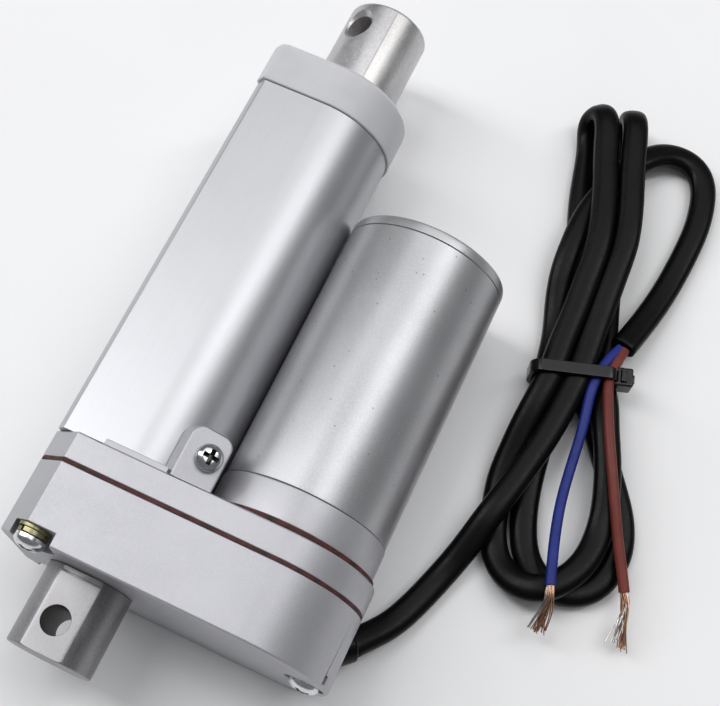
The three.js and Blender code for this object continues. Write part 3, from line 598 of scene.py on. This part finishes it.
def even(points):
    """Points spaced evenly round a closed outline, each with its outward normal."""
    loop = np.array(points + points[:1], float)
    along = np.r_[0, np.cumsum(np.linalg.norm(np.diff(loop, axis=0), axis=1))]
    at = np.linspace(0, along[-1], GASKET_POINTS, endpoint=False)
    spots = np.stack([np.interp(at, along, loop[:, k]) for k in range(2)], 1)
    ahead = np.roll(spots, -1, 0) - np.roll(spots, 1, 0)
    ahead /= np.linalg.norm(ahead, axis=1)[:, None]
    return [(x, z, -tz, tx) for (x, z), (tx, tz) in zip(spots, ahead)]


def uneven(seed, amount, lift):
    """A slow wobble of about the amount round the lift, by the number of a point."""
    phases = np.random.default_rng(seed).uniform(0, 6.28, 5)
    rates = (0.021, 0.047, 0.11, 0.19, 0.37)
    return lambda i: lift + amount * sum(math.sin(i * f + p) for f, p in zip(rates, phases)) / 3


def make_gaskets():
    mesh = gasket_mesh(even(case_outline(0.2)), even(case_outline(CASE_WALL + 0.6)), *CASE_GASKET,
                       uneven(3, 0.16, 0.2))
    finish("gasket_between_casings", mesh, "gasket", "housing", ["casing_gasket"])
    mesh = gasket_mesh(circle(MOTOR_R + 0.75), circle(13.5), *MOTOR_GASKET, uneven(8, 0.06, 0))
    mesh = combine(mesh, [tube_room()])
    finish("gasket_under_motor", mesh, "gasket", "housing", ["motor_gasket"])


# ---- Eye, tube, cap and rod ---------------------------------------------------------------------
def pin_hole(y, way, r, reach, rim):
    """A cross hole with a countersunk rim at each end, where reach is the body's surface."""
    here, way = Vector((0, y, 0)), way.normalized()
    tools = [rod_mesh(here - way * 14, here + way * 14, r)]
    for side in (-way, way):
        tools.append(rod_mesh(here + side * (reach - rim), here + side * (reach + 2), r, r + rim + 2))
    return tools


def make_eye():
    profile = [(0, EYE_TIP), (EYE_R - 0.35, EYE_TIP), (EYE_R - 0.1, EYE_TIP + 0.1),
               (EYE_R, EYE_TIP + 0.35), (EYE_R, -0.1), (5, -0.1), (5, FLOOR - 0.1), (0, FLOOR - 0.1)]
    mesh = turned(profile, EYE_X)
    cuts = [block(-12, 12, y0, y1, side * flat, side * 12) for side in (-1, 1) for flat, y0, y1 in
            ((EYE_FLAT, EYE_TIP - 1, 0), (EYE_FLAT - 0.25, EYE_NECK_Y - 0.25, EYE_NECK_Y))]
    mesh = bevelled(combine(mesh, cuts), 0.1)
    mesh = combine(mesh, pin_hole(EYE_HOLE_Y, UP, EYE_HOLE_R, EYE_FLAT, 0.08))
    eye = finish("mounting_eye", mesh, "eye", "housing", ["rear_eye"])
    # The eye's hole is coloured dark inside: painted shade.
    bored(eye, EYE_HOLE_Y, EYE_HOLE_R, UP, "bore")


def make_tube():
    mesh = prism(lambda inset: tube_outline(-inset), *TUBE, 0.1, 0.1)
    mesh = combine(mesh, [cylinder(TUBE_BORE, 0, 200, sides=ROUND),
                          block(-16.3, -10, 0, 200, -SWITCH_SLOT, SWITCH_SLOT)])
    finish("tube_body", bevelled(mesh, 0.3, 3, 34), "tube", "housing", ["outer_tube"], angle=30)
    cap = prism(lambda inset: tube_outline(CAP_PROUD - inset), *CAP, 0.15, CAP_BEVEL, 1)
    cap = combine(cap, [cylinder(ROD_R + 0.35, 100, 140, sides=ROUND),
                        cylinder(12.6, 123.2, 140, sides=ROUND)])
    finish("cap_body", bevelled(cap, 0.25, 3, 34), "cap", "housing", ["front_cap"], angle=30)


def make_rod():
    turn = Vector((-math.sin(ROD_HOLE_TURN), 0, math.cos(ROD_HOLE_TURN)))
    stub = ROD_BORE - 0.3
    profile = [(0, ROD_JOINT - 8), (stub, ROD_JOINT - 8), (stub, ROD_JOINT), (ROD_R, ROD_JOINT),
               (ROD_R, ROD_TIP - 0.9), (ROD_R - 0.25, ROD_TIP - 0.35), (ROD_R - 0.9, ROD_TIP),
               (0, ROD_TIP)]
    mesh = combine(turned(profile, sides=128),
                   pin_hole(ROD_HOLE_Y, turn, PIN_HOLE_R, ROD_R - 0.5, 0.65))
    head = finish("rod_head", mesh, "machined", "rod", ["rod_end"])
    # The rod end's hole is coloured darker inside: painted shade.
    bored(head, ROD_HOLE_Y, PIN_HOLE_R, turn, "rod_hole_painted_shade")
    tube = turned([(ROD_BORE, 37.3), (ROD_R, 37.3), (ROD_R, ROD_JOINT - 0.1),
                   (ROD_BORE, ROD_JOINT - 0.1)], sides=128)
    finish("rod_tube", tube, "machined", "rod", ["push_rod"])


# ---- Motor --------------------------------------------------------------------------------------
def make_motor():
    def round_piece(name, profile, look, node):
        finish(name, turned(profile, MOTOR_X, sides=MOTOR_SIDES), look, "housing", [node])

    r, inner = MOTOR_R, MOTOR_R - MOTOR_WALL
    y0, y1 = MOTOR_BASE
    round_piece("motor_base_ring",
                [(MOTOR_BORE_R, y0), (r + 0.1, y0), (r + 0.25, y0 + 0.2), (r + 0.25, y1 - 0.4),
                 (r + 0.13, y1 - 0.1), (r - 0.1, y1), (MOTOR_BORE_R, y1)], "casting", "motor_base")
    y0, y1 = MOTOR_CAN
    round_piece("motor_body", [(inner, y0), (r - 0.15, y0), (r, y0 + 0.15), (r, y1 - 0.15),
                               (r - 0.15, y1), (inner, y1)], "can", "motor_can")
    y0, y1 = MOTOR_END
    round_piece("motor_end_cap",
                [(0, y0), (r - 0.12, y0), (r, y0 + 0.12), (r, y1 - 0.7), (r - 0.2, y1 - 0.2),
                 (r - 0.7, y1), (6.2, y1), (5.9, y1 - 0.25), (0, y1 - 0.25)], "can",
                "motor_end_plate")


# ---- Fasteners ----------------------------------------------------------------------------------
def screw_mesh(r, height, shank, length):
    """A domed head up +Y at the origin, with a tapered cross recess, on a plain shank."""
    head = [(0, 0), (r - 0.1, 0), (r, 0.12), (r, height * 0.3)]
    for i in range(1, 9):
        a = math.pi / 2 * i / 8
        head.append((r * (0.35 + 0.65 * math.cos(a)), height * (0.3 + 0.7 * math.sin(a))))
    mesh = turned(head + [(0, height)], sides=FINE)
    cuts = []
    for long_x in (True, False):
        levels = []
        for y, arm, slot in ((height * 0.2, r * 0.26, 0.3), (height + 0.2, r * 0.64, 0.52)):
            half_x, half_z = (arm, slot) if long_x else (slot, arm)
            levels.append([(x * half_x, y, z * half_z) for x, z in ((-1, -1), (1, -1), (1, 1), (-1, 1))])
        cuts.append(stacked(levels))
    mesh = combine(mesh, cuts)
    return combine(mesh, [cylinder(shank, -length, 0.2, sides=24)], "UNION")


def spring_ring(y0, y1, x, z, out):
    """A split ring, its ends a little apart along the axis."""
    gap, rings, steps = 0.16, [], 40
    start = math.atan2(out[1], out[0])
    section = [(r, y) for r, y in ((WASHER_BORE_R, y0), (3.4, y0), (3.4, y1), (WASHER_BORE_R, y1))]
    for i in range(steps + 1):
        t = i / steps
        a = start + gap / 2 + (2 * math.pi - gap) * t
        rise = (t - 0.5) * 0.2
        rings.append([(x + r * math.cos(a), y + rise, z + r * math.sin(a)) for r, y in section])
    return stacked(rings)


def paint_recess_shade(piece, at, axis, r, height):
    """The cross recess of a screw head is coloured dark inside: painted shade."""
    piece.data.materials.append(LOOKS["bore"].material)
    for face in piece.data.polygons:
        spot = face.center / MM - at - WORK_ORIGIN
        up = spot.dot(axis)
        wall = abs(face.normal.dot(axis)) < 0.8 or up < height * 0.5
        if up > 0.3 and wall and (spot - axis * up).length < r * 0.68:
            face.material_index = 1


def make_fasteners():
    for place, (x, z, out) in CASE_SCREWS.items():
        top = POCKET_FLOORS[place] - 0.1
        low = top - PLAIN_WASHER
        seat = Vector((x, low - SPLIT_WASHER - 0.15, z))
        screw = screw_mesh(HEAD_R, HEAD_HIGH, SHANK_R, SHANK_LONG)
        screw.transform(Matrix.Translation(seat) @ Matrix.Rotation(math.pi, 4, "X")
                        @ Matrix.Rotation(0.5, 4, "Y"))
        screw = finish(f"head_screw_{place}", screw, "zinc", "housing", [f"case_screw_{place}"])
        paint_recess_shade(screw, seat, -ALONG_Y, HEAD_R, HEAD_HIGH)
        finish(f"split_washer_{place}", spring_ring(low - SPLIT_WASHER, low - 0.2, x, z, out),
               "spring", "housing", [f"spring_washer_{place}"])
        flat = turned([(WASHER_BORE_R, low), (WASHER_R - 0.1, low), (WASHER_R, low + 0.1),
                       (WASHER_R, top), (WASHER_BORE_R, top)], x, z, FINE)
        finish(f"plain_washer_{place}", flat, "spring" if z else "zinc", "housing",
               [f"flat_washer_{place}"])
    screw = screw_mesh(TAB_HEAD_R, TAB_HEAD_HIGH, 1.4, 7.2)
    screw.transform(Matrix.Rotation(0.35, 4, "Y"))
    at = TAB_AT + TAB_ACROSS * 0.65 + TAB_OUT * 0.12
    screw = finish("tab_screw_fine", aimed(screw, at, TAB_OUT), "zinc", "housing", ["tab_screw"])
    paint_recess_shade(screw, at, TAB_OUT, TAB_HEAD_R, TAB_HEAD_HIGH)


# ---- Cable --------------------------------------------------------------------------------------
# Each point is X, Y, Z, and where the section isn't flat, its roll in degrees. These three lists
# weren't chosen by hand and aren't part.mjs's: a helper program turned places picked on the
# photograph, with guessed heights, into millimetres through a fitted camera and printed them.
CABLE_ROUTE = [
    # out of the boot and over the hank to the tie
    (36, -53.5, 8.3), (38.5, -50, 6.6), (41.5, -46, 4.6), (44.5, -39, 3), (47.5, -30, 2.6),
    (49.5, -23.5, 4), (51.5, -14.5, 6.4), (53, -8.5, 6.7), (54.5, -1.5, 6.6), (56.5, 9.5, 7.1),
    (57.5, 25, 7.8),
    # the right upper loop, folded over itself
    (57, 35, 8.2), (56.5, 43.5, 8.9), (56, 52.5, 9.8), (55.5, 60, 10.4), (53, 70, 10.6),
    (50, 79, 10.6), (46, 92.5, 10.6), (45, 94.5, 9.8), (44.5, 96, 8.1), (44, 96, 6.4),
    (44.5, 96, 4.6), (45, 94.5, 2.9), (46, 92.5, 2.1), (47, 89.5, 2.2), (49, 82.5, 2.2),
    (51, 74, 2.2), (53, 63.5, 2.2), (55.5, 53.5, 2.2), (58, 44.5, 2.3), (60.5, 36.5, 3.1, 30),
    (62, 26.5, 4.3, 60),
    # the lower loop that lies on top
    (65, 24, 5.8, 30), (67, 18, 6.5), (71, 9, 6.6), (73.5, 2, 6.4), (75, -3.5, 5.6),
    (75.5, -10, 5.4), (74.5, -16.5, 6.3), (72.5, -20.5, 6.5), (70, -23.5, 6.6), (67.5, -25.5, 6.5),
    (64, -26, 5.6), (60, -24.5, 3.6), (57, -22, 2.4), (54, -17, 2.2), (52, -10, 2.2),
    (50.5, -4, 2.6), (50.5, 2, 3.8), (50.5, 9, 5.6), (51, 15, 7), (51.5, 23, 7.8),
    # the left upper loop
    (51, 30.5, 8.3), (51, 38, 8.9), (50.5, 46.5, 9.7), (50, 55, 10.5), (48, 64, 10.8),
    (45.5, 72.5, 10.7), (42.5, 80.5, 10.6), (39, 91, 10.6), (37.5, 93, 9.8), (36, 93.5, 8.1),
    (35, 93.5, 6.4), (35, 92.5, 4.6), (35, 91, 2.9), (36.5, 89, 2.1), (37.5, 87, 2.2),
    (39.5, 79, 2.2), (41.5, 70.5, 2.2), (44, 63, 2.2), (47.5, 55, 2.2), (51, 46.5, 2.8),
    (54.5, 36.5, 3.3), (57, 25, 3.5),
    # the lower loop underneath
    (62.5, 21, 2.7), (66.5, 16, 2.2), (71, 10, 2.2), (75, 4.5, 2.2), (78, 0.5, 2.2),
    (80, -3.5, 2.2), (81.5, -8.5, 2.2), (81, -14, 2.2), (79.5, -18.5, 2.2), (77, -21, 2.2),
    (74, -22.5, 2.2), (71, -23, 2.2), (67, -22, 2.2), (63, -19, 2.2), (60.5, -14.5, 2.2),
    (58.5, -9, 2.2), (57, -2.5, 2.2), (56, 4.5, 2.2), (55, 12, 2.5), (53.5, 18.5, 3.1),
    (51, 23, 3.5),
    # round the far side and back to the tie
    (49, 34, 2.9), (46.5, 41.5, 3.3), (44.5, 49, 5.2), (44, 57, 6.3), (44, 64.5, 6.5),
    (45.5, 72.5, 6.5), (48, 80, 6.5), (51.5, 86, 6.1), (55.5, 91, 4.2), (60, 93, 2.6),
    (64, 92.5, 2.2), (67.5, 88.5, 2.2), (69, 83.5, 2.2), (70, 77, 2.2), (70, 71, 2.2),
    (69.5, 63.5, 2.2), (68.5, 54.5, 2.8), (66.5, 44.5, 4.4), (64.5, 36.5, 6.2)]
BLUE_ROUTE = [
    (64, 35.5, 6.9), (62.5, 32, 7.9), (61.5, 26.5, 8.6), (61.5, 22, 8.2), (63, 14, 7.4),
    (64, 3.5, 7), (65, -5.5, 7.6), (67, -15, 8.9), (68.5, -20.5, 9.8), (69.5, -24, 10)]
BROWN_ROUTE = [
    (65, 35.5, 6.9), (64.5, 31.5, 7.9), (64, 27, 8.6), (65, 23.5, 9), (68.5, 14.5, 9.7),
    (72.5, 6, 9.6), (76.5, -2, 8.6), (80.5, -9.5, 7.2), (83.5, -14.5, 6.4), (85, -17.5, 6)]


def smooth_line(points, step, relaxing=6):
    """Evenly spaced rows along a centripetal Catmull-Rom curve through the points."""
    rows = np.array([list(p) + [0] * (4 - len(p)) for p in points], float)
    rows = np.vstack([2 * rows[0] - rows[1], rows, 2 * rows[-1] - rows[-2]])
    fine = []
    for p0, p1, p2, p3 in zip(rows, rows[1:], rows[2:], rows[3:]):
        t1 = np.linalg.norm((p1 - p0)[:3]) ** 0.5
        t2 = t1 + np.linalg.norm((p2 - p1)[:3]) ** 0.5
        t3 = t2 + np.linalg.norm((p3 - p2)[:3]) ** 0.5
        for t in np.linspace(t1, t2, 10, endpoint=False):
            a1 = (t1 - t) / t1 * p0 + t / t1 * p1
            a2 = (t2 - t) / (t2 - t1) * p1 + (t - t1) / (t2 - t1) * p2
            a3 = (t3 - t) / (t3 - t2) * p2 + (t - t2) / (t3 - t2) * p3
            b1 = (t2 - t) / t2 * a1 + t / t2 * a2
            b2 = (t3 - t) / (t3 - t1) * a2 + (t - t1) / (t3 - t1) * a3
            fine.append((t2 - t) / (t2 - t1) * b1 + (t - t1) / (t2 - t1) * b2)
    line = np.array(fine + [rows[-2]])
    for _ in range(3):
        line = spaced(line, step)
        for _ in range(relaxing):
            line[1:-1] = 0.25 * line[:-2] + 0.5 * line[1:-1] + 0.25 * line[2:]
    return line


def spaced(line, step):
    along = np.r_[0, np.cumsum(np.linalg.norm(np.diff(line[:, :3], axis=0), axis=1))]
    at = np.linspace(0, along[-1], int(round(along[-1] / step)) + 1)
    return np.stack([np.interp(at, along, line[:, k]) for k in range(line.shape[1])], 1)


def sections(line, pull=0.12):
    """At each point: the point, the across direction and the upward one of a flat section."""
    points = [Vector(row[:3]) for row in line]
    frames, across = [], None
    for i, point in enumerate(points):
        along = (points[min(i + 1, len(points) - 1)] - points[max(i - 1, 0)]).normalized()
        flat = along.cross(UP)
        if across is None:
            across = flat.normalized()
        if flat.dot(across) < 0:
            flat = -flat
        across = across - along * along.dot(across) + flat * pull
        across = (across - along * along.dot(across)).normalized()
        roll = Matrix.Rotation(math.radians(line[i][3]), 3, along)
        frames.append((point, roll @ across, roll @ across.cross(along)))
    return frames


def oval(wide, thick, sides=28):
    """A flat oval section: two round ends joined by flat faces."""
    r, points = thick / 2, []
    for i in range(sides):
        a = 2 * math.pi * (i + 0.5) / sides
        x = math.copysign(abs(math.cos(a)) ** 0.8, math.cos(a)) * wide / 2
        y = math.copysign(abs(math.sin(a)) ** 0.8, math.sin(a)) * r
        points.append((x, y))
    return points


def swept(line, section, end_ease=0.35):
    """A closed tube along the line; its ends are slightly rounded."""
    frames = sections(line)
    rings = [[point + across * x + up * y for x, y in section] for point, across, up in frames]
    for end, near in ((0, 1), (-1, -2)):
        centre = frames[end][0]
        away = (centre - frames[near][0]).normalized() * end_ease
        soft = [centre + (p - centre) * 0.86 + away for p in rings[end]]
        rings.insert(0, soft) if end == 0 else rings.append(soft)
    return stacked(rings)


def make_cable():
    line = smooth_line(CABLE_ROUTE, 1.0)
    mesh = swept(line, oval(CABLE_WIDE, CABLE_THICK))
    cable = finish("cable", mesh, "sheath", "housing", ["cable_lead", "cable_hank"], FRAME_ORIGIN, 60)
    tie = make_tie()
    boot = make_boot()


def make_boot():
    """The short moulded boot where the cable leaves the casing."""
    start, end = Vector(BOOT_FROM), Vector(BOOT_TO)
    length, soft = (end - start).length, 0.6
    profile = [(0, 0), (BOOT_R - 0.1, 0), *quarter(BOOT_TIP_R - soft, length - soft, soft, 0),
               (0, length)]
    mesh = aimed(turned(profile, sides=FINE), start, end - start)
    return finish("cable_boot", mesh, "sheath", "housing", ["cable_gland"], angle=60)


def strap_loop(grow, half):
    """A slab across the bundle with the strap's rounded outline, opened out by grow."""
    left, right, low, high = TIE_LEFT - grow, TIE_RIGHT + grow, TIE_LOW - grow, TIE_HIGH + grow
    r = 2.4 + grow * 0.6
    points = (quarter(right - r, high - r, r, 0) + quarter(left + r, high - r, r, 90)
              + quarter(left + r, low + r, r, 180) + quarter(right - r, low + r, r, 270))
    return stacked([[(x, y, z) for x, z in points] for y in (-half, half)])


def make_tie():
    """The strap round the bundle, its head at the right and its short cut tail."""
    half = TIE_WIDE / 2
    strap = bevelled(combine(strap_loop(STRAP, half), [strap_loop(0, half + BEYOND)]), 0.22)
    x0 = TIE_RIGHT - 0.2
    head = bevelled(block(x0, x0 + 4.4, -2.3, 2.3, 4.6, 9.3), 0.5, 3)
    window = block(x0 + 1.4, x0 + 2.9, -1.5, 1.5, 8.6, 9.9)
    tail = bevelled(block(x0 + 1.6, x0 + 2.7, -1.4, 1.4, 8.2, 10.0), 0.15)
    pawl = bevelled(block(x0 + 4.1, x0 + 4.9, -1.1, 1.1, 5.4, 8.2), 0.25)
    mesh = combine(strap, [combine(head, [window]), tail, pawl], "UNION")
    mesh.transform(Matrix.Rotation(TIE_LEAN, 4, "Z"))
    return finish("cable_tie_strap", mesh, "tie", "housing", ["cable_tie"], TIE_AT)


def make_wire(name, route, tips, seed, silvery):
    """An insulated wire with its bared strands; tips are where each metal's strands end."""
    line = smooth_line(route, 1.0, 4)
    mesh = swept(line, oval(WIRE_D, WIRE_D, 20), 0.05)
    wire = finish(f"{name}_insulation", mesh, name, "housing", [f"{name}_wire"], FRAME_ORIGIN, 60)
    for metal, strands in splayed(line, tips, seed, silvery).items():
        verts, faces = [], []
        for strand in strands:
            add_strand(verts, faces, smooth_line(strand, 0.7, 3))
        finish(f"{name}_{metal}_strands", mesh_from(verts, faces), metal, "housing",
                             [f"{name}_strands"] if metal == "copper" else (), FRAME_ORIGIN, 60)


def splayed(line, tips, seed, silvery):
    """Four points for each strand at the end of a wire, by metal; silvery numbers are tinned."""
    last, before = Vector(line[-1][:3]), Vector(line[-4][:3])
    ahead = (last - before).normalized()
    side = ahead.cross(UP).normalized()
    up = side.cross(ahead)
    random = np.random.default_rng(seed)
    groups = {"copper": [], "tinned": []}
    for i in range(STRANDS):
        angle, spread = i * 2.4, 0.95 * math.sqrt((i + 0.5) / STRANDS)
        c, s = math.cos(angle), math.sin(angle)
        root = last - ahead * 1.0 + (side * c + up * s) * spread * 0.85
        fan = (side * c * 1.9 + up * s * 0.8) * spread
        metal = "tinned" if i in silvery else "copper"
        end = Vector(tips[metal]) + fan * 0.8 + Vector(random.normal(0, 0.4, 3))
        bend = last + ahead * 2.6 + (side * math.cos(angle + 0.9) + up * s) * spread
        middle = (bend + end) / 2 + Vector(random.normal(0, 0.3, 3))
        groups[metal].append([root, bend, middle, end])
    return groups


def add_strand(verts, faces, line, sides=6):
    first, rings = len(verts), sections(line)
    turns = [2 * math.pi * i / sides for i in range(sides)]
    for point, across, up in rings:
        verts += [point + across * STRAND_R * math.cos(a) + up * STRAND_R * math.sin(a)
                  for a in turns]
    for k in range(len(rings) - 1):
        for i in range(sides):
            j, a = (i + 1) % sides, first + k * sides
            faces.append((a + i, a + j, a + sides + j, a + sides + i))
    faces.append(tuple(first + i for i in range(sides))[::-1])
    faces.append(tuple(first + (len(rings) - 1) * sides + i for i in range(sides)))


# ---- Inner pieces -------------------------------------------------------------------------------
INNER = {
    "wiper_seal": "rubber", "guide_bush": "nylon", "drive_nut": "nylon", "lead_screw": "steel",
    "screw_bearing": "steel", "screw_collar": "steel", "screw_gear": "nylon", "idler_gear": "nylon",
    "idler_shaft": "steel", "motor_pinion": "brass", "motor_shaft": "steel",
    "motor_armature": "winding", "motor_commutator": "winding", "motor_brush_holder": "nylon",
    "motor_front_bearing": "steel", "motor_rear_bearing": "steel", "motor_magnet_top": "ferrite",
    "motor_magnet_bottom": "ferrite", "motor_screw_top": "zinc", "motor_screw_bottom": "zinc",
    "switch_board": "board", "rear_limit_switch": "rubber", "front_limit_switch": "rubber"}


def dress_inner():
    for name, look in INNER.items():
        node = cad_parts[name]
        node.data.materials.clear()
        node.data.materials.append(LOOKS[look].material)
        bevel = node.modifiers.new("edges", "BEVEL")
        bevel.width, bevel.segments, bevel.limit_method = 0.0001, 2, "ANGLE"
        bevel.angle_limit = math.radians(40)


# ---- Floor and light ----------------------------------------------------------------------------
FLOOR_HALF, FLOOR_LEVEL = 3.0, -0.0002       # in metres


def area_light(name, location, target, size, power):
    data = bpy.data.lights.new(name, "AREA")
    data.shape, data.size, data.size_y = "RECTANGLE", size[0], size[1]
    data.energy = power
    light = bpy.data.objects.new(name, data)
    scene.collection.objects.link(light)
    light.location = location
    light.rotation_euler = (Vector(target) - Vector(location)).to_track_quat("-Z", "Y").to_euler()


def make_studio():
    look = Look("studio_floor", Roughness=0.9)
    tone = look.ranged(look.noise(25, detail=2), 0.3, 0.7, 0, 1)
    look.colour(look.mixed(tone, (0.95, 0.95, 0.955), (0.97, 0.97, 0.975)))
    look.bump((look.noise(900), 1e-5))
    mesh = bpy.data.meshes.new("floor")
    corners = [(x * FLOOR_HALF, y * FLOOR_HALF, 0) for x, y in ((-1, -1), (1, -1), (1, 1), (-1, 1))]
    mesh.from_pydata(corners, [], [(0, 1, 2, 3)])
    mesh.materials.append(look.material)
    floor = bpy.data.objects.new("floor", mesh)
    scene.collection.objects.link(floor)
    floor.location.z = FLOOR_LEVEL
    world = bpy.data.worlds.new("studio")
    world.use_nodes = True
    world.node_tree.nodes["Background"].inputs["Color"].default_value = (0.9, 0.92, 0.95, 1)
    world.node_tree.nodes["Background"].inputs["Strength"].default_value = 0.2
    scene.world = world
    area_light("overhead", (0.16, 0.62, 1.7), (0, 0, 0), (2.0, 1.6), 13)
    area_light("strip", (0.72, 0.66, 1.6), (0, 0, 0), (0.2, 1.6), 5.5)
    area_light("key", (-1.25, 0.1, 1.4), (0, 0.1, 0), (0.5, 2.0), 18)
    scene.view_settings.view_transform = "Standard"


make_camera()
make_cable()
make_wire("blue", BLUE_ROUTE, {"copper": (71.0, -33.3, 6.2), "tinned": (70.0, -33.4, 6.4)}, 5,
          (3, 10, 16, 21))
make_wire("brown", BROWN_ROUTE, {"copper": (89.6, -28.2, 3.2), "tinned": (86.4, -28.2, 3.8)}, 9,
          (1, 4, 6, 8, 9, 12, 14, 17, 20, 22))
make_casings()
make_gaskets()
make_eye()
make_tube()
make_rod()
make_motor()
make_fasteners()
dress_inner()
make_studio()
